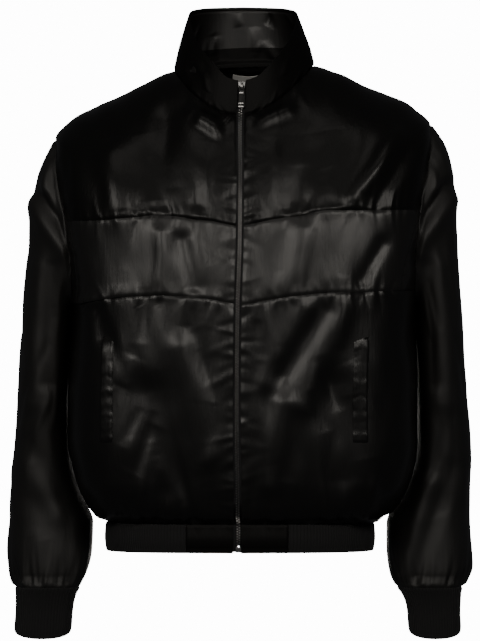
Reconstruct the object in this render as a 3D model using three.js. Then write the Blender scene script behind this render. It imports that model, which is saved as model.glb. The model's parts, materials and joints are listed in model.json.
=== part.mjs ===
// A zip-front bomber jacket in black satin with knitted hem and cuffs and a tall funnel collar, filled out
// and hanging as it does when it is worn. Millimetres, +Z up, the front faces -Y, the wearer's left is +X.
// The origin is at the middle of the neck, at the height of the shoulder seams' inner ends, where a wearer
// holds it.
import * as THREE from "three";

// Wall thicknesses, and the clear distance between two pieces at a seam.
const CLOTH = 2;
const KNIT = 3;
const COLLAR_WALL = 2.2;
const SEAM_GAP = 0.6;

// Heights of the centre front at the body's main lines.
const HEM = -609;
const HEM_SEAM = -573;
const UNDERARM = -301;
const SHOULDER_TIP = -150;
const NECK_SEAM = -60;

// Widths on the front, each from the zip's middle line.
const ZIP_OPENING = 5;
const HEM_TAB = 65;

// The body's rings from the hem to the neck seam. height is the ring's height at the centre front, where it
// lies front from the middle; sideLift and backLift raise its side and centre back; boxy squares the ring
// off, and sway moves the centre front sideways.
const BODY_RINGS = [
  { height: -609, halfWidth: 169, front: 126, back: 118, sideLift: 0, backLift: 0, boxy: 0.05, sway: -4 },
  { height: -592, halfWidth: 171, front: 128, back: 120, sideLift: 0, backLift: 0, boxy: 0.05, sway: -4 },
  { height: -573, halfWidth: 170, front: 126, back: 118, sideLift: 0, backLift: 0, boxy: 0.05, sway: -4 },
  { height: -564, halfWidth: 186, front: 136, back: 128, sideLift: 0, backLift: 0, boxy: 0.06, sway: -5 },
  { height: -549, halfWidth: 197, front: 142, back: 134, sideLift: 0, backLift: 0, boxy: 0.07, sway: -5 },
  { height: -520, halfWidth: 210, front: 146, back: 138, sideLift: 0, backLift: 0, boxy: 0.08, sway: -5 },
  { height: -467, halfWidth: 220, front: 148, back: 141, sideLift: 0, backLift: 0, boxy: 0.08, sway: -6 },
  { height: -400, halfWidth: 220, front: 146, back: 141, sideLift: 0, backLift: 0, boxy: 0.08, sway: -6 },
  { height: -301, halfWidth: 215, front: 142, back: 139, sideLift: 0, backLift: 0, boxy: 0.08, sway: -5 },
  { height: -255, halfWidth: 219, front: 139, back: 138, sideLift: 14, backLift: 9, boxy: 0.08, sway: -3 },
  { height: -201, halfWidth: 227, front: 133, back: 136, sideLift: 43, backLift: 30, boxy: 0.08, sway: -1 },
  { height: -150, halfWidth: 232, front: 124, back: 129, sideLift: 72, backLift: 54, boxy: 0.06, sway: 0 },
  { height: -128, halfWidth: 213, front: 116, back: 118, sideLift: 74, backLift: 66, boxy: 0.04, sway: 0 },
  { height: -106, halfWidth: 182, front: 107, back: 103, sideLift: 68, backLift: 74, boxy: 0.02, sway: 0 },
  { height: -86, halfWidth: 146, front: 98, back: 84, sideLift: 63, backLift: 79, boxy: 0.01, sway: 0 },
  { height: -72, halfWidth: 114, front: 91, back: 69, sideLift: 64, backLift: 77, boxy: 0.005, sway: 0 },
  { height: -60, halfWidth: 88, front: 83, back: 58, sideLift: 63, backLift: 70, boxy: 0, sway: 0 },
];

// The back is rounder than the front.
const BACK_BOXY = 0.02;

// The right shoulder seam hangs lower than the left one: the slope of everything above the chest.
const SHOULDER_SLOPE = 0.042;

// The jacket hangs unevenly: how far the whole of it is moved to the left, and then how far its left and its
// right part are moved outwards.
const LEAN = [
  { z: -657, whole: 0, left: 0, right: 0 },
  { z: -609, whole: 2, left: 4, right: 0 },
  { z: -560, whole: 2, left: 4, right: 0 },
  { z: -510, whole: 2, left: 4, right: 0 },
  { z: -420, whole: 2, left: 3, right: 0 },
  { z: -345, whole: 2, left: 4.5, right: 0 },
  { z: -236, whole: 1.5, left: 6, right: 0 },
  { z: -200, whole: 1, left: 7.5, right: 2 },
  { z: -160, whole: 0.5, left: 9, right: 4.5 },
  { z: -129, whole: 0.5, left: 12, right: 6 },
  { z: -99, whole: 0, left: 15, right: 3.5 },
  { z: -75, whole: 0, left: 11, right: 0 },
  { z: -53, whole: 0.5, left: 4, right: 0 },
  { z: -33, whole: 1.5, left: 1, right: 0 },
  { z: -10, whole: 3, left: 2, right: 0 },
  { z: 10, whole: 4, left: 4, right: 0 },
  { z: 30, whole: 4, left: 0, right: 0 },
  { z: 80, whole: 4, left: 0, right: 0 },
];

// Away from the shoulder tips, each height is smoothed with its neighbours this far above and below.
const SHOULDER_SOFTNESS = 38;

// The collar's top edge is an oval, and the wall bows out half way up. The edge's height changes with the
// angle from the centre front.
const COLLAR_TOP = { halfWidth: 69.5, front: 78, back: 56, bow: 1.5 };
const COLLAR_EDGE = [
  { turn: 0, height: -15.5 },
  { turn: 5, height: -15 },
  { turn: 12, height: -11 },
  { turn: 22, height: -3 },
  { turn: 43, height: 19 },
  { turn: 60, height: 38 },
  { turn: 82, height: 62 },
  { turn: 97, height: 72 },
  { turn: 115, height: 77.5 },
  { turn: 145, height: 81.5 },
  { turn: 180, height: 83 },
];
const COLLAR_FRONT = COLLAR_EDGE[0].height;

// The armhole is an oval round the body's side: half its angle, in degrees, at its widest.
const ARMHOLE_HALF_ANGLE = 21;

// The sleeve's sections from the armhole to the cuff seam, each from its outer to its inner edge as seen
// from the front, with its middle and half its depth from front to back. The left sleeve's two edges
// lie nearer the body than the right one's, by the last two numbers.
const SLEEVE_SECTIONS = [
  { outerX: 232, outerZ: -80, innerX: 215, innerZ: -301, middleY: 0, halfDepth: 62, full: 0, slim: 0 },
  { outerX: 247, outerZ: -108, innerX: 215.5, innerZ: -304, middleY: 7, halfDepth: 66, full: 0, slim: 0 },
  { outerX: 259, outerZ: -142, innerX: 216, innerZ: -310, middleY: 15, halfDepth: 70, full: 0, slim: 0 },
  { outerX: 265, outerZ: -180, innerX: 216.5, innerZ: -320, middleY: 22, halfDepth: 73, full: 0, slim: 0 },
  { outerX: 269, outerZ: -225, innerX: 217, innerZ: -336, middleY: 28, halfDepth: 75, full: 0, slim: 0 },
  { outerX: 274, outerZ: -280, innerX: 218, innerZ: -362, middleY: 34, halfDepth: 76, full: 0, slim: 0 },
  { outerX: 278, outerZ: -335, innerX: 219.5, innerZ: -395, middleY: 38, halfDepth: 76, full: 0, slim: 0 },
  { outerX: 282, outerZ: -385, innerX: 220, innerZ: -430, middleY: 42, halfDepth: 75, full: 0, slim: 0 },
  { outerX: 286, outerZ: -435, innerX: 219.5, innerZ: -465, middleY: 45, halfDepth: 73, full: 0, slim: 0 },
  { outerX: 291, outerZ: -487, innerX: 214.5, innerZ: -503, middleY: 47, halfDepth: 71, full: 0, slim: 2 },
  { outerX: 295, outerZ: -537, innerX: 203, innerZ: -541, middleY: 47, halfDepth: 69, full: 3, slim: 7 },
  { outerX: 297, outerZ: -575, innerX: 189, innerZ: -575, middleY: 41, halfDepth: 66, full: 8, slim: 9 },
  { outerX: 299, outerZ: -610, innerX: 190, innerZ: -610, middleY: 33, halfDepth: 62, full: 9, slim: 8 },
  { outerX: 295, outerZ: -637, innerX: 195, innerZ: -637, middleY: 26, halfDepth: 56, full: 7, slim: 4 },
  { outerX: 286, outerZ: -657, innerX: 204, innerZ: -657, middleY: 20, halfDepth: 46, full: 4, slim: 3 },
];
const SLEEVE_BOXY = 0.03;
const SLEEVE_ROWS = 17;
// Over these first sections the sleeve's own oval eases into the armhole's true shape.
const ARMHOLE_EASE = 4;

// The knitted cuff's sections, from its seam to its edge, which hangs lower in front.
const CUFF_SECTIONS = [
  { outerX: 286, outerZ: -657, innerX: 204, innerZ: -657, middleY: 20, halfDepth: 46, full: 4, slim: 3 },
  { outerX: 285, outerZ: -666, innerX: 209, innerZ: -666, middleY: 19, halfDepth: 41, full: 2, slim: 4 },
  { outerX: 285, outerZ: -684, innerX: 213, innerZ: -684, middleY: 19, halfDepth: 38, full: 0, slim: 5 },
  { outerX: 287, outerZ: -711, innerX: 215, innerZ: -711, middleY: 19, halfDepth: 38, full: 0, slim: 6 },
];
const CUFF_DIP = 11;

// The knit's ribs: how many show round each cuff and the hem, and how far they stand out.
const CUFF_RIBS = 30;
const HEM_RIBS = 84;
const RIB_RELIEF = 0.9;

// The two seams across each front, as the front view shows them: heights at distances from the middle.
const CHEST_SEAMS = {
  right: [
    { x: 6, upper: -200, lower: -297 },
    { x: 50, upper: -191, lower: -289 },
    { x: 85, upper: -186, lower: -287 },
    { x: 120, upper: -188, lower: -287 },
    { x: 160, upper: -192, lower: -290 },
    { x: 204, upper: -193, lower: -297 },
  ],
  left: [
    { x: 6, upper: -199, lower: -298 },
    { x: 50, upper: -190, lower: -290 },
    { x: 85, upper: -183, lower: -285 },
    { x: 120, upper: -180, lower: -283 },
    { x: 160, upper: -180, lower: -282 },
    { x: 222, upper: -179, lower: -280 },
  ],
};
const SEAM_STEPS = 8;

// A front has this many columns. A slanted seam parts each chest band from its side piece: top is its share
// of the way across, and columns the band's own columns, where its foot is.
const FRONT_COLUMNS = 17;
const SLANT_SEAM = {
  right: { top: 0.93, columns: 14 },
  left: { top: 0.93, columns: 12 },
};

// Pocket welts: the distance of each from the middle, and their common sizes.
const POCKET_MIDDLE = { right: 176, left: 156 };
const POCKET_CLEARANCE = { right: 1.7, left: 0.8 };
const POCKET = { top: -341, foot: -470, width: 21, slant: 7, proud: 1.5 };

// The largest folds, each a soft ridge (height above 0) or trough between two points of the front view.
const BODY_FOLDS = [
  { x0: -60, z0: -54, x1: -22, z1: -74, width: 9, height: 4 },
  { x0: -50, z0: -66, x1: -14, z1: -90, width: 8, height: 3.5 },
  { x0: 57, z0: -56, x1: 14, z1: -74, width: 9, height: 4 },
  { x0: -157, z0: -104, x1: -152, z1: -178, width: 20, height: 4 },
  { x0: -92, z0: -60, x1: -95, z1: -168, width: 16, height: -4 },
  { x0: 182, z0: -95, x1: 133, z1: -168, width: 14, height: 5 },
  { x0: 194, z0: -120, x1: 164, z1: -178, width: 11, height: -3 },
  { x0: 76, z0: -85, x1: 62, z1: -180, width: 20, height: -4 },
  { x0: -99, z0: -205, x1: -101, z1: -280, width: 10, height: 3.5 },
  { x0: -72, z0: -215, x1: -60, z1: -275, width: 11, height: -3.5 },
  { x0: 74, z0: -205, x1: 63, z1: -280, width: 15, height: 3.5 },
  { x0: 171, z0: -228, x1: 146, z1: -270, width: 9, height: -3.5 },
  { x0: -182, z0: -305, x1: -176, z1: -338, width: 10, height: -4 },
  { x0: -75, z0: -352, x1: -40, z1: -490, width: 18, height: 4 },
  { x0: -117, z0: -410, x1: -91, z1: -523, width: 24, height: -5 },
  { x0: 74, z0: -303, x1: 30, z1: -395, width: 14, height: 3 },
  { x0: 98, z0: -307, x1: 52, z1: -385, width: 13, height: -3 },
  { x0: 128, z0: -303, x1: 72, z1: -420, width: 17, height: 3.5 },
  { x0: 112, z0: -400, x1: 120, z1: -515, width: 22, height: -5 },
  { x0: 48, z0: -422, x1: 36, z1: -523, width: 14, height: 4 },
];

// The back has the same folds, mirrored and a little softer.
const BACK_OF_BODY = 0.8;

// The largest folds of a sleeve, in the front view with x outwards, and again more softly on its back.
const SLEEVE_FOLDS = [
  { x0: 262, z0: -146, x1: 216, z1: -214, width: 7, height: -7 },
  { x0: 266, z0: -166, x1: 220, z1: -232, width: 10, height: 5 },
  { x0: 234, z0: -104, x1: 246, z1: -152, width: 6, height: 4.5 },
  { x0: 232, z0: -104, x1: 218, z1: -165, width: 6, height: 4 },
  { x0: 234, z0: -132, x1: 226, z1: -186, width: 6, height: -5 },
  { x0: 252, z0: -250, x1: 262, z1: -420, width: 15, height: 4 },
  { x0: 237, z0: -250, x1: 243, z1: -396, width: 10, height: -4 },
  { x0: 272, z0: -470, x1: 225, z1: -535, width: 13, height: -5 },
  { x0: 276, z0: -500, x1: 232, z1: -562, width: 13, height: 4 },
];
const BACK_OF_SLEEVE = 0.7;

// Gathers where the cloth is drawn in to the knit: waves round the piece, their height and their reach.
const HEM_GATHERS = { waves: 40, height: 3.2, reach: 46 };
const CUFF_GATHERS = { waves: 12, height: 2.6, reach: 34 };

// The zip: its chain between the fronts, the tapes behind them, and the slider at its top.
const CHAIN_HALF_WIDTH = 2.7;
const CHAIN_BACK = -2;
const TAPE = { halfWidth: 10.5, front: -2.95, thickness: 0.8 };
const SLIDER = { top: -17.5, foot: -31, halfWidth: 4.3, proud: 2.2 };
const ZIP_BOX = { height: 8, halfWidth: 3.6, proud: 0.9 };

// The pull tab hangs from a bar under the slider's bridge.
const PULL = { length: 27, halfWidth: 3.9, thickness: 1.2, barAbove: 1.5, eye: 6.2 };
const BRIDGE = { halfWidth: 1.2, halfLength: 4.4, height: 3.6, wall: 1.1 };
const PULL_SIDE_CLEARANCE = 0.5;

// The plain woven label on the inside of the back: top is the height of the ring at its upper edge.
const LABEL = { middle: 8, width: 41, top: -74, length: 24, thickness: 0.8, clearance: 3.4 };

const SATIN = { color: 0x0b0b0c, roughness: 0.38, metalness: 0 };
const KNIT_FINISH = { color: 0x121213, roughness: 0.92, metalness: 0 };
const TAPE_FINISH = { color: 0x0e0e0f, roughness: 0.8, metalness: 0 };
const METAL = { color: 0xb9b9bb, roughness: 0.3, metalness: 1 };
const LABEL_FINISH = { color: 0xdcdad6, roughness: 0.6, metalness: 0 };

const lerp = THREE.MathUtils.lerp;
const clamp = THREE.MathUtils.clamp;
const radians = THREE.MathUtils.degToRad;
// A soft step from 0 to 1 as a value goes from one limit to the other, up or down.
function smooth(value, from, to) {
  const share = clamp((value - from) / (to - from), 0, 1);
  return share * share * (3 - 2 * share);
}

// Shares from 0 to 1 in even steps.
const even = (steps) => Array.from({ length: steps + 1 }, (_, step) => step / steps);

// The value of a table's column where its key column has the given value, on a curve through the rows that
// never overshoots them.
function lookUp(rows, key, column, value) {
  const last = rows.length - 1;
  const at = clamp(value, rows[0][key], rows[last][key]);
  let low = 0;
  while (low < last - 1 && rows[low + 1][key] < at) low += 1;
  const span = (row) => rows[row + 1][key] - rows[row][key];
  const slope = (row) => (rows[row + 1][column] - rows[row][column]) / span(row);
  const tangent = (row) => {
    if (row === 0) return slope(0);
    if (row === last) return slope(last - 1);
    const product = slope(row - 1) * slope(row);
    return product <= 0 ? 0 : (2 * product) / (slope(row - 1) + slope(row));
  };
  const width = span(low);
  const t = (at - rows[low][key]) / width;
  const late = 3 * t ** 2 - 2 * t ** 3;
  const start = rows[low][column] * (1 - late) + tangent(low) * width * t * (1 - t) ** 2;
  return start + rows[low + 1][column] * late - tangent(low + 1) * width * (1 - t) * t ** 2;
}

// The same for a table of evenly numbered sections.
function section(rows, column, value) {
  const numbered = rows.map((row, number) => ({ number, [column]: row[column] }));
  return lookUp(numbered, "number", column, value);
}

// How far a point of the front view is raised by a list of folds.
function foldHeight(folds, x, z) {
  let height = 0;
  for (const fold of folds) {
    const dx = fold.x1 - fold.x0;
    const dz = fold.z1 - fold.z0;
    const along = ((x - fold.x0) * dx + (z - fold.z0) * dz) / (dx * dx + dz * dz);
    const nearest = clamp(along, 0, 1);
    const away = Math.hypot(x - fold.x0 - nearest * dx, z - fold.z0 - nearest * dz) / fold.width;
    height += fold.height * Math.exp(-away * away);
  }
  return height;
}

// The slope of the shoulder line, which fades out below the chest and up the collar, and then the lean.
function slopeShoulders(point) {
  point.z += SHOULDER_SLOPE * point.x * smooth(point.z, -330, -190) * smooth(point.z, 80, 0);
  const lean = (column) => lookUp(LEAN, "z", column, point.z);
  const outwards = lean("left") * smooth(point.x, 20, 110) - lean("right") * smooth(point.x, -20, -110);
  point.x += lean("whole") + outwards;
  return point;
}

// A surface is a function of two parameters. These give its outward normal and a point moved along it.
const STEP = 1e-3;
function normalOf(surface, u, v) {
  const alongU = surface(u + STEP, v).sub(surface(u - STEP, v));
  const alongV = surface(u, v + STEP).sub(surface(u, v - STEP));
  return alongU.cross(alongV).normalize();
}
// A normal displacement of a plain surface.
const raised = (plain, height) => (u, v) => {
  const point = plain(u, v);
  return point.addScaledVector(normalOf(plain, u, v), height(u, v, point));
};

// A column of the body's rings, where the turn at the shoulder tip is softened by a share from 0 to 1.
function softRing(column, height, softened) {
  const at = (offset) => lookUp(BODY_RINGS, "height", column, height + offset);
  const reach = SHOULDER_SOFTNESS * smooth(height, -330, -230) * smooth(height, NECK_SEAM, NECK_SEAM - 80);
  const mean = even(4).reduce((sum, share) => sum + at(lerp(-reach, reach, share)), 0) / 5;
  return lerp(at(0), mean, softened);
}

// The body: angle 0 is the centre front, 90 the wearer's left side, 180 the centre back and -90 the right
// side. Its second parameter is the ring's height at the centre front.
function plainBody(angle, height) {
  const sin = Math.sin(radians(angle));
  const cos = Math.cos(radians(angle));
  const ring = (column) => softRing(column, height, 1 - sin ** 6);
  const boxy = cos > 0 ? ring("boxy") : Math.min(ring("boxy"), BACK_BOXY);
  const wide = (sin + boxy * Math.sin(radians(3 * angle))) / (1 - boxy);
  const deep = (cos - boxy * Math.cos(radians(3 * angle))) / (1 - boxy);
  const lift = lerp(cos > 0 ? 0 : ring("backLift"), ring("sideLift"), sin * sin);
  const sway = cos > 0 ? ring("sway") * cos * cos : 0;
  const beyond = height - clamp(height, HEM, NECK_SEAM);
  return new THREE.Vector3(
    ring("halfWidth") * wide + sway,
    -(cos > 0 ? ring("front") : ring("back")) * deep,
    clamp(height, HEM, NECK_SEAM) + lift + beyond,
  );
}

// The folds leave the zip, the sides and the seams to the collar and the knit in peace.
function bodyRelief(angle, height, point) {
  const turn = Math.abs(angle);
  const folds = foldHeight(BODY_FOLDS, point.x * (turn > 90 ? -1 : 1), point.z);
  const fromZip = Math.abs(point.x - lookUp(BODY_RINGS, "height", "sway", height));
  const clearOfZip = turn > 90 ? BACK_OF_BODY : smooth(fromZip, 14, 34);
  const clearOfSide = 1 - smooth(90 - Math.abs(90 - turn), 64, 82);
  const clearOfEnds = smooth(height, NECK_SEAM, NECK_SEAM - 9) * smooth(height, HEM_SEAM, HEM_SEAM + 40);
  const above = Math.max(0, height - HEM_SEAM);
  const fade = Math.exp(-above / HEM_GATHERS.reach) * smooth(above, 0, 10);
  const zipSide = turn > 90 ? 1 : smooth(Math.abs(point.x), 8, 30);
  const gathers = HEM_GATHERS.height * fade * zipSide * Math.cos(radians(angle * HEM_GATHERS.waves));
  const atSide = 1 - 0.6 * smooth(90 - Math.abs(90 - turn), 70, 84);
  return folds * clearOfZip * clearOfSide * clearOfEnds + gathers * atSide;
}
const body = (angle, height) => slopeShoulders(raised(plainBody, bodyRelief)(angle, height));

// The body's angle at a distance from the zip's middle line, near the centre front.
function angleAt(distance, height) {
  const boxy = lookUp(BODY_RINGS, "height", "boxy", height);
  const halfWidth = lookUp(BODY_RINGS, "height", "halfWidth", height);
  const sine = (distance * (1 - boxy)) / (halfWidth * (1 + 3 * boxy));
  return THREE.MathUtils.radToDeg(Math.asin(sine) + 0.5 * boxy * sine ** 3 * 4);
}

// The armhole's edge. turn 0 is at the shoulder tip, 90 at the front, 180 under the arm and 270 at the back.
const ARMHOLE_MIDDLE = (UNDERARM + SHOULDER_TIP) / 2;
const ARMHOLE_HALF_HEIGHT = (SHOULDER_TIP - UNDERARM) / 2;
function armholeAngle(height) {
  const reach = (height - ARMHOLE_MIDDLE) / ARMHOLE_HALF_HEIGHT;
  return Math.abs(reach) < 1 ? ARMHOLE_HALF_ANGLE * Math.sqrt(1 - reach * reach) : 0;
}
const heightAtTurn = (turn) => ARMHOLE_MIDDLE + ARMHOLE_HALF_HEIGHT * Math.cos(radians(turn));
const turnAtHeight = (height) => {
  const reach = clamp((height - ARMHOLE_MIDDLE) / ARMHOLE_HALF_HEIGHT, -1, 1);
  return THREE.MathUtils.radToDeg(Math.acos(reach));
};
function armholeEdge(side, turn) {
  return body(side * (90 - ARMHOLE_HALF_ANGLE * Math.sin(radians(turn))), heightAtTurn(turn));
}
// Panels and sleeve share their points round the armhole: these heights, and the seams' ends on the front.
const ARMHOLE_STEPS = 10;
const ARMHOLE_HEIGHTS = even(ARMHOLE_STEPS).map((share) => heightAtTurn(180 * (1 - share)));

// Row shares between two heights at the armhole, through its shared points and a spacing apart at most.
function rowShares(below, above, spacing) {
  const shared = ARMHOLE_HEIGHTS.filter((height) => height > below + 2 && height < above - 2);
  const heights = [below, ...shared, above];
  const shares = [0];
  for (let row = 1; row < heights.length; row += 1) {
    const steps = Math.ceil((heights[row] - heights[row - 1]) / spacing);
    for (let step = 1; step <= steps; step += 1) {
      const height = lerp(heights[row - 1], heights[row], step / steps);
      shares.push((height - below) / (above - below));
    }
  }
  return shares;
}

// An oval section of a sleeve or cuff.
function oval(rows, side, turn, along) {
  const at = (column) => section(rows, column, along);
  const across = (Math.cos(radians(turn)) - SLEEVE_BOXY * Math.cos(radians(3 * turn))) / (1 - SLEEVE_BOXY);
  const forward = (Math.sin(radians(turn)) + SLEEVE_BOXY * Math.sin(radians(3 * turn))) / (1 - SLEEVE_BOXY);
  const innerX = at("innerX") - (side > 0 ? at("full") : 0);
  const outerX = at("outerX") - (side > 0 ? at("slim") : 0);
  return new THREE.Vector3(
    side * lerp(innerX, outerX, (1 + across) / 2),
    at("middleY") - at("halfDepth") * forward,
    lerp(at("innerZ"), at("outerZ"), (1 + across) / 2),
  );
}

function plainSleeve(side, turn, along) {
  const point = slopeShoulders(oval(SLEEVE_SECTIONS, side, turn, along));
  const ease = clamp(1 - along / ARMHOLE_EASE, 0, 1) ** 2;
  if (ease === 0) return point;
  const first = slopeShoulders(oval(SLEEVE_SECTIONS, side, turn, 0));
  return point.addScaledVector(armholeEdge(side, turn).sub(first), ease);
}

function sleeveRelief(turn, along, point) {
  const last = SLEEVE_SECTIONS.length - 1;
  const sin = Math.sin(radians(turn));
  const folds = foldHeight(SLEEVE_FOLDS, Math.abs(point.x), point.z);
  const facing = sin > 0 ? smooth(sin, 0, 0.5) : BACK_OF_SLEEVE * smooth(-sin, 0, 0.5);
  const clearOfEnds = smooth(along, 0, 0.8) * smooth(along, last, last - 0.8);
  const outward = 1 - 0.85 * smooth(-Math.cos(radians(turn)), 0.35, 0.8);
  const above = section(SLEEVE_SECTIONS, "outerZ", along) - SLEEVE_SECTIONS[last].outerZ;
  const fade = Math.exp(-above / CUFF_GATHERS.reach) * smooth(above, 0, 9);
  const gathers = CUFF_GATHERS.height * fade * Math.cos(radians(turn * CUFF_GATHERS.waves));
  return folds * facing * clearOfEnds * outward + gathers;
}
const sleeve = (side) => (turn, along) => {
  const plain = (t, a) => plainSleeve(side, side * t, a);
  return raised(plain, (t, a, point) => sleeveRelief(side * t, a, point))(turn, along);
};

// The cuff's edge dips in front by a share of its way down.
const cuff = (side) => (turn, along) => {
  const point = oval(CUFF_SECTIONS, side, side * turn, along);
  point.z -= CUFF_DIP * Math.sin(radians(side * turn)) * (along / (CUFF_SECTIONS.length - 1)) ** 2;
  return point;
};

// How far an angle is from the centre front, from 0 to 180.
const turnedBy = (angle) => Math.abs(((angle + 540) % 360) - 180);

// The collar, from the neck seam at rise 0 to its top edge at 1.
function collar(angle, rise) {
  const foot = body(angle, NECK_SEAM);
  const sin = Math.sin(radians(angle));
  const cos = Math.cos(radians(angle));
  const top = new THREE.Vector3(
    COLLAR_TOP.halfWidth * sin,
    -(cos > 0 ? COLLAR_TOP.front : COLLAR_TOP.back) * cos,
    lookUp(COLLAR_EDGE, "turn", "height", turnedBy(angle)),
  );
  slopeShoulders(top);
  const bow = COLLAR_TOP.bow * 4 * rise * (1 - rise) * Math.abs(sin);
  return foot.lerp(top, rise).add(new THREE.Vector3(bow * sin, -bow * cos, 0));
}

// The collar's angle at a distance from the zip's middle line.
function collarAngle(distance, rise) {
  const halfWidth = lerp(lookUp(BODY_RINGS, "height", "halfWidth", NECK_SEAM), COLLAR_TOP.halfWidth, rise);
  return THREE.MathUtils.radToDeg(Math.asin(distance / halfWidth));
}

// The line up the centre front, over the body and then the collar: distance is from the zip's middle.
function centreFront(distance, height) {
  if (height <= NECK_SEAM) return body(angleAt(distance, height), height);
  const rise = (height - NECK_SEAM) / (COLLAR_FRONT - NECK_SEAM);
  return collar(collarAngle(distance, rise), rise);
}

// A solid from a grid of outer points and one of inner points, both as rows of columns. round joins the last
// column to the first.
function solidFrom(outer, inner, round) {
  const rows = outer.length;
  const columns = outer[0].length;
  const positions = [];
  for (const point of [outer, inner].flat(2)) positions.push(...point.toArray());
  const index = (layer, row, column) => layer * rows * columns + row * columns + (column % columns);
  const faces = [];
  const quad = (a, b, c, d) => faces.push(a, b, c, a, c, d);
  const steps = round ? columns : columns - 1;
  for (let row = 0; row < rows - 1; row += 1) {
    for (let column = 0; column < steps; column += 1) {
      const next = column + 1;
      quad(index(0, row, column), index(0, row, next), index(0, row + 1, next), index(0, row + 1, column));
      quad(index(1, row, column), index(1, row + 1, column), index(1, row + 1, next), index(1, row, next));
    }
  }
  for (let column = 0; column < steps; column += 1) {
    const next = column + 1;
    const top = rows - 1;
    quad(index(0, 0, column), index(1, 0, column), index(1, 0, next), index(0, 0, next));
    quad(index(0, top, column), index(0, top, next), index(1, top, next), index(1, top, column));
  }
  for (let row = 0; row < rows - 1 && !round; row += 1) {
    const end = columns - 1;
    quad(index(0, row, 0), index(0, row + 1, 0), index(1, row + 1, 0), index(1, row, 0));
    quad(index(0, row, end), index(1, row, end), index(1, row + 1, end), index(0, row + 1, end));
  }
  const geometry = new THREE.BufferGeometry();
  geometry.setAttribute("position", new THREE.Float32BufferAttribute(positions, 3));
  geometry.setIndex(faces);
  geometry.computeVertexNormals();
  return geometry;
}

// Moves a grid's edges in by half a seam gap, so that two pieces that share a seam stay clear.
function trimEdges(grid, round) {
  const towards = (from, to) => to.clone().sub(from).setLength(SEAM_GAP / 2);
  const last = grid.length - 1;
  grid[0].forEach((point, column) => point.add(towards(point, grid[1][column])));
  grid[last].forEach((point, column) => point.add(towards(point, grid[last - 1][column])));
  if (round) return;
  for (const row of grid) {
    const end = row.length - 1;
    row[0].add(towards(row[0], row[1]));
    row[end].add(towards(row[end], row[end - 1]));
  }
}

// A wall of cloth on a surface. place gives the surface's parameters for a column and row, whose shares from
// 0 to 1 are listed; out is how far its outer face stands off the surface, relief raises outer points alone,
// and level lists the rows whose two faces are kept at one height.
function wall({ surface, place, columns, rows, thickness, out = 0, round = false, relief, level = [] }) {
  const outer = [];
  const inner = [];
  const around = round ? columns.slice(0, -1) : columns;
  rows.forEach((v, row) => {
    outer.push([]);
    inner.push([]);
    around.forEach((u, column) => {
      const at = place(u, v);
      const point = surface(...at);
      const normal = normalOf(surface, ...at);
      if (level.includes(row)) normal.setZ(0).normalize();
      outer[row].push(point.clone().addScaledVector(normal, out + (relief ? relief(column) : 0)));
      inner[row].push(point.clone().addScaledVector(normal, out - thickness));
    });
  });
  trimEdges(outer, round);
  trimEdges(inner, round);
  return solidFrom(outer, inner, round);
}

const jacket = new THREE.Group();
function add(name, geometry, finish) {
  const mesh = new THREE.Mesh(geometry, new THREE.MeshStandardMaterial(finish));
  mesh.name = name;
  jacket.add(mesh);
  return mesh;
}

const SIDES = { right: -1, left: 1 };

// The body's parameters at a share of the way across a front, from the zip to the armhole or the side seam.
function frontPlace(side, across, height) {
  return [side * lerp(angleAt(ZIP_OPENING, height), 90 - armholeAngle(height), across), height];
}

// Where a chest seam runs on the body: the height of the ring that it meets at each share across.
function seamRings(name, row) {
  return even(SEAM_STEPS).map((across) => {
    let [low, high] = [UNDERARM - 40, SHOULDER_TIP];
    for (let halving = 0; halving < 24; halving += 1) {
      const height = (low + high) / 2;
      const point = slopeShoulders(plainBody(...frontPlace(SIDES[name], across, height)));
      if (point.z > lookUp(CHEST_SEAMS[name], "x", row, Math.abs(point.x))) high = height;
      else low = height;
    }
    return { across, height: low };
  });
}
const bothSeams = (name) => ({ upper: seamRings(name, "upper"), lower: seamRings(name, "lower") });
const SEAM_RINGS = { right: bothSeams("right"), left: bothSeams("left") };
const seamHeight = (name, row, across) => lookUp(SEAM_RINGS[name][row], "across", "height", across);

// A panel of the front between two heights given as functions of the share across, and two such shares given
// as functions of the share up.
function frontPanel(side, below, above, from, to, columns, spacing, level = []) {
  const rows = rowShares(below(1), above(1), spacing);
  const place = (u, v) => {
    const across = lerp(from(v), to(v), side > 0 ? u : 1 - u);
    return frontPlace(side, across, lerp(below(across), above(across), v));
  };
  return wall({ surface: body, place, columns: even(columns), rows, thickness: CLOTH, level });
}

function addFronts() {
  const zip = () => 0;
  const edge = () => 1;
  for (const [name, side] of Object.entries(SIDES)) {
    const upper = (across) => seamHeight(name, "upper", across);
    const lower = (across) => seamHeight(name, "lower", across);
    const { top, columns } = SLANT_SEAM[name];
    const slant = (v) => lerp(columns / FRONT_COLUMNS, top, v);
    const lowerFront = frontPanel(side, () => HEM_SEAM, lower, zip, edge, FRONT_COLUMNS, 27, [0]);
    add("front_lower_" + name, lowerFront, SATIN);
    add("chest_band_" + name, frontPanel(side, lower, upper, zip, slant, columns, 32), SATIN);
    const sideColumns = FRONT_COLUMNS - columns;
    add("chest_side_" + name, frontPanel(side, lower, upper, slant, edge, sideColumns, 32), SATIN);
    add("front_yoke_" + name, frontPanel(side, upper, () => NECK_SEAM, zip, edge, 14, 17), SATIN);
  }
}

function addBack() {
  const place = (u, v) => {
    const height = lerp(HEM_SEAM, NECK_SEAM, v);
    const edge = 90 + armholeAngle(height);
    return [lerp(edge, 360 - edge, u), height];
  };
  const rows = rowShares(HEM_SEAM, NECK_SEAM, 30);
  add("back", wall({ surface: body, place, columns: even(24), rows, thickness: CLOTH, level: [0] }), SATIN);
}

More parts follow.
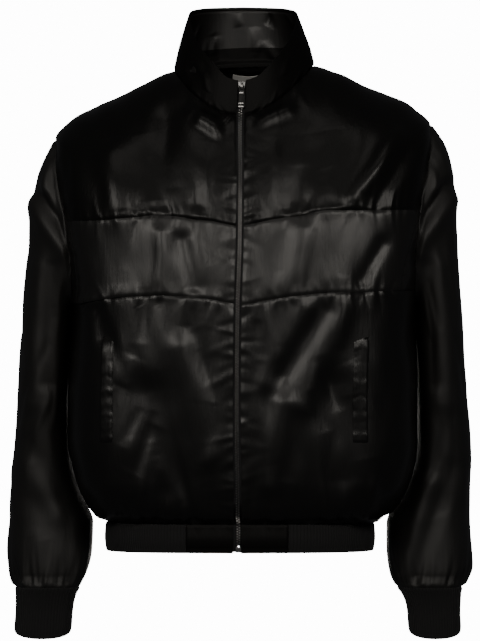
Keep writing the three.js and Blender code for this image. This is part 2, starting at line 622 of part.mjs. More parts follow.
// The turns of a sleeve's columns, with the armhole's shared points: the front is passed first on the left
// and last on the right, since both sleeves run the same way round.
function sleeveTurns(name, side) {
  const seams = ["upper", "lower"].map((row) => seamHeight(name, row, 1));
  const kept = [...seams.filter((height) => height > UNDERARM + 2), ...ARMHOLE_HEIGHTS];
  const front = kept.map(turnAtHeight).sort((a, b) => a - b);
  const back = ARMHOLE_HEIGHTS.slice(1, -1).map((height) => 360 - turnAtHeight(height));
  const turns = [...front, ...back.sort((a, b) => a - b), 360];
  return side > 0 ? turns : turns.map((turn) => 360 - turn).reverse();
}

function addSleeves() {
  const last = SLEEVE_SECTIONS.length - 1;
  for (const [name, side] of Object.entries(SIDES)) {
    const place = (u, v) => [360 * u, last * v];
    const columns = sleeveTurns(name, side).map((turn) => turn / 360);
    const sections = { surface: sleeve(side), place, columns, rows: even(SLEEVE_ROWS), thickness: CLOTH };
    add("sleeve_" + name, wall({ ...sections, level: [SLEEVE_ROWS], round: true }), SATIN);
  }
}

function addCuffs() {
  const last = CUFF_SECTIONS.length - 1;
  for (const [name, side] of Object.entries(SIDES)) {
    const place = (u, v) => [360 * u, last * v];
    const relief = (column) => (column % 2 ? RIB_RELIEF : 0);
    const ribs = { surface: cuff(side), place, rows: even(2), thickness: KNIT, round: true, relief };
    add("cuff_" + name, wall({ ...ribs, columns: even(2 * CUFF_RIBS), level: [0, 2] }), KNIT_FINISH);
  }
}

function addHem() {
  const tabAngle = (height) => angleAt(HEM_TAB, height);
  const ribPlace = (u, v) => {
    const height = lerp(HEM, HEM_SEAM, v);
    return [lerp(tabAngle(height), 360 - tabAngle(height), u), height];
  };
  const relief = (column) => (column % 2 ? RIB_RELIEF : 0);
  const ribs = { surface: body, place: ribPlace, columns: even(2 * HEM_RIBS), rows: even(1), relief };
  add("hem_rib", wall({ ...ribs, thickness: KNIT, level: [0, 1] }), KNIT_FINISH);
  for (const [name, side] of Object.entries(SIDES)) {
    const place = (u, v) => {
      const height = lerp(HEM, HEM_SEAM, v);
      const share = side > 0 ? u : 1 - u;
      return [side * lerp(angleAt(ZIP_OPENING, height), tabAngle(height), share), height];
    };
    const tab = { surface: body, place, columns: even(5), rows: even(1), thickness: CLOTH, level: [0, 1] };
    add("hem_tab_" + name, wall(tab), SATIN);
  }
}

function addCollar() {
  const place = (u, v) => [lerp(collarAngle(ZIP_OPENING, v), 360 - collarAngle(ZIP_OPENING, v), u), v];
  const stand = { surface: collar, place, columns: even(34), rows: even(5), thickness: COLLAR_WALL };
  add("collar", wall(stand), SATIN);
}

function addPockets() {
  for (const [name, side] of Object.entries(SIDES)) {
    const place = (u, v) => {
      const across = side > 0 ? u : 1 - u;
      const distance = POCKET_MIDDLE[name] + POCKET.width * (across - 0.5);
      const height = lerp(POCKET.foot, POCKET.top + POCKET.slant * (across - 0.5), v);
      return [side * angleAt(distance, height), height];
    };
    const out = POCKET_CLEARANCE[name] + POCKET.proud;
    const welt = { surface: body, place, columns: even(2), rows: even(8), thickness: POCKET.proud, out };
    add("pocket_welt_" + name, wall(welt), SATIN);
  }
}

// The zip bends at the seams to the hem and the collar, and gently between them.
const ZIP_HEIGHTS = [
  ...even(1).map((share) => lerp(HEM, HEM_SEAM, share)),
  ...even(20).slice(1).map((share) => lerp(HEM_SEAM, NECK_SEAM, share)),
  ...even(3).slice(1).map((share) => lerp(NECK_SEAM, COLLAR_FRONT, share)),
];

// A strip of the zip between two distances from its middle and two heights.
function zipStrip(from, to, foot, top, out, thickness) {
  const heights = [foot, ...ZIP_HEIGHTS.filter((height) => height > foot + 1 && height < top - 1), top];
  const rows = heights.map((height) => (height - foot) / (top - foot));
  const place = (u, v) => [lerp(from, to, u), lerp(foot, top, v)];
  return wall({ surface: centreFront, place, columns: even(1), rows, thickness, out });
}

function addZip() {
  const collarTop = COLLAR_FRONT;
  for (const [name, side] of Object.entries(SIDES)) {
    const edges = [side * SEAM_GAP, side * TAPE.halfWidth].sort((a, b) => a - b);
    const tape = zipStrip(edges[0], edges[1], HEM + 1, collarTop - 2, TAPE.front, TAPE.thickness);
    add("zip_tape_" + name, tape, TAPE_FINISH);
  }
  const boxTop = HEM + ZIP_BOX.height;
  const chainTop = SLIDER.foot - 3 * SEAM_GAP;
  const half = CHAIN_HALF_WIDTH;
  add("zip_chain", zipStrip(-half, half, boxTop + SEAM_GAP, chainTop, 0, -CHAIN_BACK), METAL);
  const boxDepth = ZIP_BOX.proud - CHAIN_BACK;
  const boxHalf = ZIP_BOX.halfWidth;
  add("zip_box", zipStrip(-boxHalf, boxHalf, HEM + 1, boxTop, ZIP_BOX.proud, boxDepth), METAL);
}

// The slider and its pull lie in a frame of their own: x across the zip, y up it and z out of the cloth.
function sliderFrame() {
  const middle = (SLIDER.top + SLIDER.foot) / 2;
  const origin = centreFront(0, middle);
  const out = normalOf(centreFront, 0, middle);
  const across = new THREE.Vector3(1, 0, 0).addScaledVector(out, -out.x).normalize();
  const up = out.clone().cross(across);
  const frame = new THREE.Group();
  frame.applyMatrix4(new THREE.Matrix4().makeBasis(across, up, out).setPosition(origin));
  return frame;
}

const extruded = (shape, depth, curveSegments) =>
  new THREE.ExtrudeGeometry(shape, { depth, bevelEnabled: false, curveSegments });

function sliderShape() {
  const half = (SLIDER.top - SLIDER.foot) / 2;
  const shape = new THREE.Shape();
  shape.moveTo(-SLIDER.halfWidth, half - 1.5);
  shape.quadraticCurveTo(-SLIDER.halfWidth, half, -SLIDER.halfWidth + 1.5, half);
  shape.lineTo(SLIDER.halfWidth - 1.5, half);
  shape.quadraticCurveTo(SLIDER.halfWidth, half, SLIDER.halfWidth, half - 1.5);
  shape.lineTo(0.78 * SLIDER.halfWidth, -half);
  shape.lineTo(-0.78 * SLIDER.halfWidth, -half);
  return shape;
}

function addSlider() {
  const frame = sliderFrame();
  const plate = SLIDER.proud - CHAIN_BACK;
  const block = extruded(sliderShape(), plate, 3);
  block.translate(0, 0, CHAIN_BACK);
  const slider = new THREE.Mesh(block, new THREE.MeshStandardMaterial(METAL));
  slider.name = "zip_slider";
  frame.add(slider);

  const arch = new THREE.Shape();
  const long = BRIDGE.halfLength;
  arch.moveTo(-long, 0);
  arch.quadraticCurveTo(-long, BRIDGE.height, 0, BRIDGE.height);
  arch.quadraticCurveTo(long, BRIDGE.height, long, 0);
  arch.lineTo(long - BRIDGE.wall, 0);
  arch.quadraticCurveTo(long - BRIDGE.wall, BRIDGE.height - BRIDGE.wall, 0, BRIDGE.height - BRIDGE.wall);
  arch.quadraticCurveTo(-long + BRIDGE.wall, BRIDGE.height - BRIDGE.wall, -long + BRIDGE.wall, 0);
  const bridgeBody = extruded(arch, 2 * BRIDGE.halfWidth, 5);
  bridgeBody.translate(0, 0, -BRIDGE.halfWidth);
  const bridge = new THREE.Mesh(bridgeBody, new THREE.MeshStandardMaterial(METAL));
  bridge.name = "zip_bridge";
  bridge.rotation.set(Math.PI / 2, Math.PI / 2, 0);
  bridge.position.set(0, 0, SLIDER.proud);
  frame.add(bridge);

  const pull = new THREE.Shape();
  const wide = PULL.halfWidth;
  const foot = -PULL.length;
  pull.moveTo(-wide, foot + 1.5);
  pull.quadraticCurveTo(-wide, foot, -wide + 1.5, foot);
  pull.lineTo(wide - 1.5, foot);
  pull.quadraticCurveTo(wide, foot, wide, foot + 1.5);
  pull.lineTo(wide - 0.6, PULL.thickness / 2);
  pull.lineTo(-wide + 0.6, PULL.thickness / 2);
  const eyeHalf = BRIDGE.halfWidth + PULL_SIDE_CLEARANCE;
  const eye = new THREE.Path();
  eye.moveTo(-eyeHalf, -PULL.thickness / 2);
  eye.lineTo(eyeHalf, -PULL.thickness / 2);
  eye.lineTo(eyeHalf, -PULL.eye);
  eye.lineTo(-eyeHalf, -PULL.eye);
  pull.holes.push(eye);
  const slot = new THREE.Path();
  slot.moveTo(-2.2, foot + 2.2);
  slot.lineTo(-2.2, foot + 4.2);
  slot.lineTo(2.2, foot + 4.2);
  slot.lineTo(2.2, foot + 2.2);
  pull.holes.push(slot);
  const tab = extruded(pull, PULL.thickness, 3);
  tab.translate(0, 0, -PULL.thickness / 2);
  const pullTab = new THREE.Mesh(tab, new THREE.MeshStandardMaterial(METAL));
  pullTab.name = "zip_pull";
  pullTab.position.set(0, 0, SLIDER.proud + PULL.barAbove);
  frame.add(pullTab);
  jacket.add(frame);
}

function addLabel() {
  const place = (u, v) => {
    const height = LABEL.top - LABEL.length * (1 - v);
    const halfWidth = lookUp(BODY_RINGS, "height", "halfWidth", height);
    const x = LABEL.middle + LABEL.width * (0.5 - u);
    return [180 - THREE.MathUtils.radToDeg(Math.asin(x / halfWidth)), height];
  };
  const out = -CLOTH - LABEL.clearance;
  const label = { surface: body, place, columns: even(6), rows: even(3), thickness: LABEL.thickness, out };
  add("neck_label", wall(label), LABEL_FINISH);
}

addFronts();
addBack();
addSleeves();
addCuffs();
addHem();
addCollar();
addPockets();
addZip();
addSlider();
addLabel();

export default jacket;
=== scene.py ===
"""Looks of the satin bomber jacket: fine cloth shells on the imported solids, sewing, zip teeth and light."""

import json
import math

import bpy
import numpy as np
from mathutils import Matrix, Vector


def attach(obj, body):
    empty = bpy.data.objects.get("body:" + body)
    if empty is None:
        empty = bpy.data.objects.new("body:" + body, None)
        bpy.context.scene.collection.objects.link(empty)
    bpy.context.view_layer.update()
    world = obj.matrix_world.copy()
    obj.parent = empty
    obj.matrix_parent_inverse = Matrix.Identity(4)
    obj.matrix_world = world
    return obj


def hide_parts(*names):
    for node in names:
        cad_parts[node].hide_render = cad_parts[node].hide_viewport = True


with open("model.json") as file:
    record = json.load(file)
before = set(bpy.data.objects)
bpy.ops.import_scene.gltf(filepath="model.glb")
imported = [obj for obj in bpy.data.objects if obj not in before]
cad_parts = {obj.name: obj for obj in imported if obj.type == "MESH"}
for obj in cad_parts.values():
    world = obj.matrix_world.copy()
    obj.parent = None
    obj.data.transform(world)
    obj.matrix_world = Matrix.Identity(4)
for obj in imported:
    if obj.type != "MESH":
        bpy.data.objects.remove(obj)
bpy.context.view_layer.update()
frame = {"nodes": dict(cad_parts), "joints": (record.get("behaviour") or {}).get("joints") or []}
MM = 0.001
JACKET = "jacket"
PULL_TAB = "pull_tab"

# The camera stands level with the jacket's middle, far off, as in the photograph.
IMAGE_WIDTH = 480
PIXEL_MM = 1.27
CAMERA_DISTANCE = 7.5
CAMERA_HEIGHT = -0.318
SENSOR = 36

# Driving sizes of the solids, in millimetres.
CLOTH = 2
KNIT = 3
COLLAR_WALL = 2.2
SHELL = 1.4
HEM = -609
HEM_SEAM = -573
UNDERARM = -301
SHOULDER_TIP = -150
NECK_SEAM = -60
ZIP_OPENING = 5
HEM_TAB = 65
SHOULDER_SLOPE = 0.042
BACK_BOXY = 0.02
SEAM_STEPS = 8
SHOULDER_SOFTNESS = 38
ARMHOLE_HALF_ANGLE = 21
SLEEVE_BOXY = 0.03
ARMHOLE_EASE = 4
CUFF_DIP = 11
STEP = 1e-3


def table(columns, rows):
    return [dict(zip(columns.split(), row)) for row in rows]


BODY_RINGS = table(
    "height halfWidth front back sideLift backLift boxy sway",
    [
        (-609, 169, 126, 118, 0, 0, 0.05, -4),
        (-592, 171, 128, 120, 0, 0, 0.05, -4),
        (-573, 170, 126, 118, 0, 0, 0.05, -4),
        (-564, 186, 136, 128, 0, 0, 0.06, -5),
        (-549, 197, 142, 134, 0, 0, 0.07, -5),
        (-520, 210, 146, 138, 0, 0, 0.08, -5),
        (-467, 220, 148, 141, 0, 0, 0.08, -6),
        (-400, 220, 146, 141, 0, 0, 0.08, -6),
        (-301, 215, 142, 139, 0, 0, 0.08, -5),
        (-255, 219, 139, 138, 14, 9, 0.08, -3),
        (-201, 227, 133, 136, 43, 30, 0.08, -1),
        (-150, 232, 124, 129, 72, 54, 0.06, 0),
        (-128, 213, 116, 118, 74, 66, 0.04, 0),
        (-106, 182, 107, 103, 68, 74, 0.02, 0),
        (-86, 146, 98, 84, 63, 79, 0.01, 0),
        (-72, 114, 91, 69, 64, 77, 0.005, 0),
        (-60, 88, 83, 58, 63, 70, 0, 0),
    ],
)
LEAN = table(
    "z whole left right",
    [
        (-657, 0, 0, 0),
        (-609, 2, 4, 0),
        (-560, 2, 4, 0),
        (-510, 2, 4, 0),
        (-420, 2, 3, 0),
        (-345, 2, 4.5, 0),
        (-236, 1.5, 6, 0),
        (-200, 1, 7.5, 2),
        (-160, 0.5, 9, 4.5),
        (-129, 0.5, 12, 6),
        (-99, 0, 15, 3.5),
        (-75, 0, 11, 0),
        (-53, 0.5, 4, 0),
        (-33, 1.5, 1, 0),
        (-10, 3, 2, 0),
        (10, 4, 4, 0),
        (30, 4, 0, 0),
        (80, 4, 0, 0),
    ],
)
COLLAR_TOP = dict(halfWidth=69.5, front=78, back=56, bow=1.5)
COLLAR_EDGE = table(
    "turn height",
    [
        (0, -15.5),
        (5, -15),
        (12, -11),
        (22, -3),
        (43, 19),
        (60, 38),
        (82, 62),
        (97, 72),
        (115, 77.5),
        (145, 81.5),
        (180, 83),
    ],
)
COLLAR_FRONT = COLLAR_EDGE[0]["height"]
COLLAR_DIP = dict(turn=17, width=9, depth=3)
SLEEVE_SECTIONS = table(
    "outerX outerZ innerX innerZ middleY halfDepth full slim",
    [
        (232, -80, 215, -301, 0, 62, 0, 0),
        (247, -108, 215.5, -304, 7, 66, 0, 0),
        (259, -142, 216, -310, 15, 70, 0, 0),
        (265, -180, 216.5, -320, 22, 73, 0, 0),
        (269, -225, 217, -336, 28, 75, 0, 0),
        (274, -280, 218, -362, 34, 76, 0, 0),
        (278, -335, 219.5, -395, 38, 76, 0, 0),
        (282, -385, 220, -430, 42, 75, 0, 0),
        (286, -435, 219.5, -465, 45, 73, 0, 0),
        (291, -487, 214.5, -503, 47, 71, 0, 2),
        (295, -537, 203, -541, 47, 69, 3, 7),
        (297, -575, 189, -575, 41, 66, 8, 9),
        (299, -610, 190, -610, 33, 62, 9, 8),
        (295, -637, 195, -637, 26, 56, 7, 4),
        (286, -657, 204, -657, 20, 46, 4, 3),
    ],
)
CUFF_SECTIONS = table(
    "outerX outerZ innerX innerZ middleY halfDepth full slim",
    [
        (286, -657, 204, -657, 20, 46, 4, 3),
        (285, -666, 209, -666, 19, 41, 2, 4),
        (285, -684, 213, -684, 19, 38, 0, 5),
        (287, -711, 215, -711, 19, 38, 0, 6),
    ],
)
CHEST_SEAMS = {
    "right": table(
        "x upper lower",
        [
            (6, -200, -297),
            (50, -191, -289),
            (85, -186, -287),
            (120, -188, -287),
            (160, -192, -290),
            (204, -193, -297),
        ],
    ),
    "left": table(
        "x upper lower",
        [
            (6, -199, -298),
            (50, -190, -290),
            (85, -183, -285),
            (120, -180, -283),
            (160, -180, -282),
            (222, -179, -280),
        ],
    ),
}
FRONT_COLUMNS = 17
SLANT_SEAM = {
    "right": dict(top=0.93, foot=14 / FRONT_COLUMNS),
    "left": dict(top=0.93, foot=12 / FRONT_COLUMNS),
}
POCKET_MIDDLE = {"right": 176, "left": 156}
POCKET = dict(top=-341, foot=-470, width=21, slant=7, proud=1.5)
SIDES = {"right": -1, "left": 1}

# The solids' own folds, then the finer ones that only the looks have.
FOLD_COLUMNS = "x0 z0 x1 z1 width height"
BODY_FOLDS = table(
    FOLD_COLUMNS,
    [
        (-60, -54, -22, -74, 9, 4),
        (-50, -66, -14, -90, 8, 3.5),
        (57, -56, 14, -74, 9, 4),
        (-157, -104, -152, -178, 20, 4),
        (-92, -60, -95, -168, 16, -4),
        (182, -95, 133, -168, 14, 5),
        (194, -120, 164, -178, 11, -3),
        (76, -85, 62, -180, 20, -4),
        (-99, -205, -101, -280, 10, 3.5),
        (-72, -215, -60, -275, 11, -3.5),
        (74, -205, 63, -280, 15, 3.5),
        (171, -228, 146, -270, 9, -3.5),
        (-182, -305, -176, -338, 10, -4),
        (-75, -352, -40, -490, 18, 4),
        (-117, -410, -91, -523, 24, -5),
        (74, -303, 30, -395, 14, 3),
        (98, -307, 52, -385, 13, -3),
        (128, -303, 72, -420, 17, 3.5),
        (112, -400, 120, -515, 22, -5),
        (48, -422, 36, -523, 14, 4),
    ],
)
BACK_OF_BODY = 0.8
SLEEVE_FOLDS = table(
    FOLD_COLUMNS,
    [
        (262, -146, 216, -214, 7, -7),
        (266, -166, 220, -232, 10, 5),
        (234, -104, 246, -152, 6, 4.5),
        (232, -104, 218, -165, 6, 4),
        (234, -132, 226, -186, 6, -5),
        (252, -250, 262, -420, 15, 4),
        (237, -250, 243, -396, 10, -4),
    ],
)
LOW_SLEEVE_FOLDS = {
    "right": table(
        FOLD_COLUMNS,
        [
            (272, -470, 225, -535, 13, -2.5),
            (276, -500, 232, -562, 13, 1.5),
        ],
    ),
    "left": table(
        FOLD_COLUMNS,
        [
            (268, -505, 226, -640, 13, -3),
            (240, -525, 203, -645, 13, 5),
        ],
    ),
}
BACK_OF_SLEEVE = 0.7


def smooth(value, start, end):
    share = np.clip((value - start) / (end - start), 0, 1)
    return share * share * (3 - 2 * share)


def lerp(start, end, share):
    return start + (end - start) * share


def curve(rows, key, column):
    """A table's column against its key, on a curve that never overshoots its rows."""
    x = np.array([row[key] for row in rows], float)
    y = np.array([row[column] for row in rows], float)
    slope = np.diff(y) / np.diff(x)
    tangent = np.empty(len(x))
    tangent[0] = slope[0]
    tangent[-1] = slope[-1]
    product = slope[:-1] * slope[1:]
    total = np.where(product > 0, slope[:-1] + slope[1:], 1)
    tangent[1:-1] = np.where(product > 0, 2 * product / total, 0)

    def at(value):
        value = np.clip(value, x[0], x[-1])
        low = np.clip(np.searchsorted(x, value, side="right") - 1, 0, len(x) - 2)
        width = x[low + 1] - x[low]
        t = (value - x[low]) / width
        late = 3 * t**2 - 2 * t**3
        start = y[low] * (1 - late) + tangent[low] * width * t * (1 - t) ** 2
        return start + y[low + 1] * late - tangent[low + 1] * width * (1 - t) * t**2

    return at


def columns_of(rows, key):
    return {column: curve(rows, key, column) for column in rows[0] if column != key}


def numbered(rows):
    return [dict(row, number=number) for number, row in enumerate(rows)]


RING = columns_of(BODY_RINGS, "height")
SLEEVE = columns_of(numbered(SLEEVE_SECTIONS), "number")
CUFF = columns_of(numbered(CUFF_SECTIONS), "number")
LEAN_AT = columns_of(LEAN, "z")
COLLAR_EDGE_AT = columns_of(COLLAR_EDGE, "turn")["height"]


def points(x, y, z):
    return np.stack(np.broadcast_arrays(x, y, z), axis=-1).astype(float)


def fold_height(folds, x, z, wrap=None, tapered=False):
    height = np.zeros(np.shape(x))
    for fold in folds:
        dx = fold["x1"] - fold["x0"]
        dz = fold["z1"] - fold["z0"]
        from_x = x - fold["x0"]
        if wrap:
            from_x = (from_x + wrap / 2) % wrap - wrap / 2
        from_z = z - fold["z0"]
        along = (from_x * dx + from_z * dz) / (dx * dx + dz * dz)
        nearest = np.clip(along, 0, 1)
        away = np.hypot(from_x - nearest * dx, from_z - nearest * dz) / fold["width"]
        taper = np.sin(math.pi * nearest) ** 0.6 if tapered else 1
        height += fold["height"] * taper * np.exp(-away * away)
    return height


def random_folds(seed, count, x, z, tilt, length, width, height):
    """Soft creases at random places, each range given as a pair, tilt in degrees from upright."""
    rng = np.random.default_rng(seed)
    folds = []
    for _ in range(count):
        angle = math.radians(rng.uniform(*tilt))
        reach = rng.uniform(*length)
        x0 = rng.uniform(min(x), max(x))
        z0 = rng.uniform(min(z), max(z))
        sign = rng.choice([-1, 1])
        fold = dict(x0=x0, z0=z0, x1=x0 + reach * math.sin(angle), z1=z0 - reach * math.cos(angle))
        fold["width"] = rng.uniform(*width)
        fold["height"] = sign * rng.uniform(*height)
        folds.append(fold)
    return folds


def random_puckers(seed, start, end, spacing, width, length, height, slant=0.5):
    """Small gathers across a seam, each at its place along the seam."""
    rng = np.random.default_rng(seed)
    rows = []
    place = start + rng.uniform(0, spacing)
    while place < end:
        rows.append(
            dict(
                place=place,
                slant=rng.uniform(-slant, slant),
                width=rng.uniform(*width),
                length=rng.uniform(*length),
                height=rng.uniform(*height) * rng.choice([-1, 1]),
            )
        )
        place += spacing * rng.uniform(0.5, 1.5)
    return rows


def pucker_height(rows, along, away, wrap=None):
    height = np.zeros(np.broadcast(along, away).shape)
    for row in rows:
        off = along - row["place"] - row["slant"] * away
        if wrap:
            off = (off + wrap / 2) % wrap - wrap / 2
        height += row["height"] * np.exp(-((off / row["width"]) ** 2) - (away / row["length"]) ** 2)
    return height


LATTICE = 256


def crumple(seed, x, z, cell_x, cell_z, height, wrap=None):
    """Soft unevenness of the cloth from a lattice of random heights, smoothed between its cells."""
    size = round(wrap / cell_x) if wrap else LATTICE
    lattice = np.random.default_rng(seed).normal(0, height, (size, LATTICE))
    gx = np.asarray(x) / cell_x
    gz = np.asarray(z) / cell_z
    ix = np.floor(gx).astype(int)
    iz = np.floor(gz).astype(int)

    def weights(t):
        before = (3 * t**3 - 6 * t**2 + 4) / 6
        after = (1 + 3 * t + 3 * t**2 - 3 * t**3) / 6
        return [(1 - t) ** 3 / 6, before, after, t**3 / 6]

    wx = weights(gx - ix)
    wz = weights(gz - iz)
    total = 0
    for column in range(4):
        for row in range(4):
            total = total + wx[column] * wz[row] * lattice[(ix + column) % size, (iz + row) % LATTICE]
    return total


def satin_unevenness(seed, x, z, wrap=None):
    """Upright soft waves, and finer ones between them."""
    return crumple(seed, x, z, 25, 60, 1.5, wrap) + crumple(seed + 1, x, z, 10, 22, 0.55, wrap)


ROLL = 1.0
ROLL_WIDTH = 1.7


def edge_roll(away):
    """How far a seamed edge is drawn in."""
    return -ROLL * np.exp(-((away / ROLL_WIDTH) ** 2))


def slope_shoulders(point):
    x, y, z = np.moveaxis(point, -1, 0)
    z = z + SHOULDER_SLOPE * x * smooth(z, -330, -190) * smooth(z, 80, 0)
    outwards = LEAN_AT["left"](z) * smooth(x, 20, 110) - LEAN_AT["right"](z) * smooth(x, -20, -110)
    return points(x + LEAN_AT["whole"](z) + outwards, y, z)


def normal_of(surface, u, v):
    along_u = surface(u + STEP, v) - surface(u - STEP, v)
    along_v = surface(u, v + STEP) - surface(u, v - STEP)
    normal = np.cross(along_u, along_v)
    return normal / np.linalg.norm(normal, axis=-1, keepdims=True)


def soft_ring(column, height, softened):
    at = RING[column]
    reach = SHOULDER_SOFTNESS * smooth(height, -330, -230) * smooth(height, NECK_SEAM, NECK_SEAM - 80)
    mean = sum(at(height + lerp(-reach, reach, share)) for share in np.linspace(0, 1, 5)) / 5
    return lerp(at(height), mean, softened)


def plain_body(angle, height):
    """Angle 0 is the centre front, 90 the wearer's left side, 180 the centre back, -90 the right side."""
    angle, height = np.broadcast_arrays(np.asarray(angle, float), np.asarray(height, float))
    turn = np.radians(angle)
    sin = np.sin(turn)
    cos = np.cos(turn)
    softened = 1 - sin**6
    ring = {column: soft_ring(column, height, softened) for column in RING}
    boxy = np.where(cos > 0, ring["boxy"], np.minimum(ring["boxy"], BACK_BOXY))
    wide = (sin + boxy * np.sin(3 * turn)) / (1 - boxy)
    deep = (cos - boxy * np.cos(3 * turn)) / (1 - boxy)
    lift = lerp(np.where(cos > 0, 0, ring["backLift"]), ring["sideLift"], sin * sin)
    sway = np.where(cos > 0, ring["sway"] * cos * cos, 0)
    return points(
        ring["halfWidth"] * wide + sway,
        -np.where(cos > 0, ring["front"], ring["back"]) * deep,
        height + lift,
    )


def turned(angle):
    """The angle from the centre front, from 0 to 180."""
    return np.abs((np.asarray(angle) + 180) % 360 - 180)


def body_folds(angle, height, point):
    turn = turned(angle)
    mirrored = np.where(turn > 90, -1, 1)
    from_zip = np.abs(point[..., 0] - RING["sway"](height))
    clear_of_zip = np.where(turn > 90, BACK_OF_BODY, smooth(from_zip, 14, 34))
    clear_of_side = 1 - smooth(90 - np.abs(90 - turn), 64, 82)
    clear_of_ends = smooth(height, NECK_SEAM, NECK_SEAM - 9) * smooth(height, HEM_SEAM, HEM_SEAM + 40)
    folds = fold_height(BODY_FOLDS, point[..., 0] * mirrored, point[..., 2])
    return folds * clear_of_zip * clear_of_side * clear_of_ends


def angle_at(distance, height):
    boxy = RING["boxy"](height)
    sine = (distance * (1 - boxy)) / (RING["halfWidth"](height) * (1 + 3 * boxy))
    return np.degrees(np.arcsin(sine) + 2 * boxy * sine**3)


def front_place(side, across, height):
    """The body's angle at a share of the way from the zip to the armhole or the side seam."""
    return side * lerp(angle_at(ZIP_OPENING, height), 90 - armhole_angle(height), across)


def seam_rings(name, row):
    """The height of the ring that a chest seam meets at each share across."""
    across = np.linspace(0, 1, SEAM_STEPS + 1)
    target = curve(CHEST_SEAMS[name], "x", row)
    low = np.full(across.shape, float(UNDERARM - 40))
    high = np.full(across.shape, float(SHOULDER_TIP))
    for _ in range(24):
        height = (low + high) / 2
        point = slope_shoulders(plain_body(front_place(SIDES[name], across, height), height))
        above = point[..., 2] > target(np.abs(point[..., 0]))
        high = np.where(above, height, high)
        low = np.where(above, low, height)
    rows = [dict(across=share, height=height) for share, height in zip(across, low)]
    return curve(rows, "across", "height")


ARMHOLE_MIDDLE = (UNDERARM + SHOULDER_TIP) / 2
ARMHOLE_HALF_HEIGHT = (SHOULDER_TIP - UNDERARM) / 2


def armhole_angle(height):
    reach = np.clip((height - ARMHOLE_MIDDLE) / ARMHOLE_HALF_HEIGHT, -1, 1)
    return ARMHOLE_HALF_ANGLE * np.sqrt(1 - reach * reach)


SEAM = {name: {row: seam_rings(name, row) for row in ("upper", "lower")} for name in SIDES}


def armhole_edge(side, turn):
    height = ARMHOLE_MIDDLE + ARMHOLE_HALF_HEIGHT * np.cos(np.radians(turn))
    return slope_shoulders(plain_body(side * (90 - ARMHOLE_HALF_ANGLE * np.sin(np.radians(turn))), height))


def oval(sections, side, turn, along):
    at = {column: sections[column](along) for column in sections}
    turn = np.radians(turn)
    across = (np.cos(turn) - SLEEVE_BOXY * np.cos(3 * turn)) / (1 - SLEEVE_BOXY)
    forward = (np.sin(turn) + SLEEVE_BOXY * np.sin(3 * turn)) / (1 - SLEEVE_BOXY)
    inner = at["innerX"] - (at["full"] if side > 0 else 0)
    outer = at["outerX"] - (at["slim"] if side > 0 else 0)
    return points(
        side * lerp(inner, outer, (1 + across) / 2),
        at["middleY"] - at["halfDepth"] * forward,
        lerp(at["innerZ"], at["outerZ"], (1 + across) / 2),
    )


def plain_sleeve(side, turn, along):
    turn, along = np.broadcast_arrays(np.asarray(turn, float), np.asarray(along, float))
    point = slope_shoulders(oval(SLEEVE, side, turn, along))
    ease = np.clip(1 - along / ARMHOLE_EASE, 0, 1) ** 2
    first = slope_shoulders(oval(SLEEVE, side, turn, np.zeros(np.shape(along))))
    return point + (armhole_edge(side, turn) - first) * ease[..., None]


def collar_dip(angle):
    """How far the cloth of the collar's front edge sags beside the zip."""
    return COLLAR_DIP["depth"] * np.exp(-(((turned(angle) - COLLAR_DIP["turn"]) / COLLAR_DIP["width"]) ** 2))


def plain_collar(angle, rise):
    angle, rise = np.broadcast_arrays(np.asarray(angle, float), np.asarray(rise, float))
    foot = slope_shoulders(plain_body(angle, np.full(angle.shape, float(NECK_SEAM))))
    turn = np.radians(angle)
    sin = np.sin(turn)
    cos = np.cos(turn)
    top = slope_shoulders(
        points(
            COLLAR_TOP["halfWidth"] * sin,
            -np.where(cos > 0, COLLAR_TOP["front"], COLLAR_TOP["back"]) * cos,
            COLLAR_EDGE_AT(turned(angle)) - collar_dip(angle),
        )
    )
    bow = COLLAR_TOP["bow"] * 4 * rise * (1 - rise) * np.abs(sin)
    return foot + (top - foot) * rise[..., None] + points(bow * sin, -bow * cos, 0 * bow)


def collar_angle(distance, rise):
    half_width = lerp(RING["halfWidth"](NECK_SEAM), COLLAR_TOP["halfWidth"], rise)
    return np.degrees(np.arcsin(distance / half_width))


def centre_front(distance, height):
    """The line up the zip, over the body and then the collar."""
    height = np.asarray(height, float)
    on_body = slope_shoulders(plain_body(angle_at(distance, height), np.minimum(height, NECK_SEAM)))
    rise = np.clip((height - NECK_SEAM) / (COLLAR_FRONT - NECK_SEAM), 0, 2)
    on_collar = plain_collar(collar_angle(distance, rise), rise)
    return np.where((height > NECK_SEAM)[..., None], on_collar, on_body)


# Materials.
def principled(name, color, roughness, metallic=0.0, sheen=0.0, specular=0.5):
    material = bpy.data.materials.new(name)
    material.use_nodes = True
    shader = material.node_tree.nodes["Principled BSDF"]
    shader.inputs["Base Color"].default_value = (*color, 1)
    shader.inputs["Roughness"].default_value = roughness
    shader.inputs["Metallic"].default_value = metallic
    shader.inputs["Sheen Weight"].default_value = sheen
    shader.inputs["Specular IOR Level"].default_value = specular
    return material


def add_bump(material, scale, distance, strength, stretch=(1, 1, 1)):
    nodes = material.node_tree.nodes
    links = material.node_tree.links
    place = nodes.new("ShaderNodeTexCoord")
    mapping = nodes.new("ShaderNodeMapping")
    mapping.inputs["Scale"].default_value = stretch
    noise = nodes.new("ShaderNodeTexNoise")
    noise.inputs["Scale"].default_value = scale
    noise.inputs["Detail"].default_value = 3
    bump = nodes.new("ShaderNodeBump")
    bump.inputs["Strength"].default_value = strength
    bump.inputs["Distance"].default_value = distance
    links.new(place.outputs["Object"], mapping.inputs["Vector"])
    links.new(mapping.outputs["Vector"], noise.inputs["Vector"])
    links.new(noise.outputs["Fac"], bump.inputs["Height"])
    links.new(bump.outputs["Normal"], nodes["Principled BSDF"].inputs["Normal"])


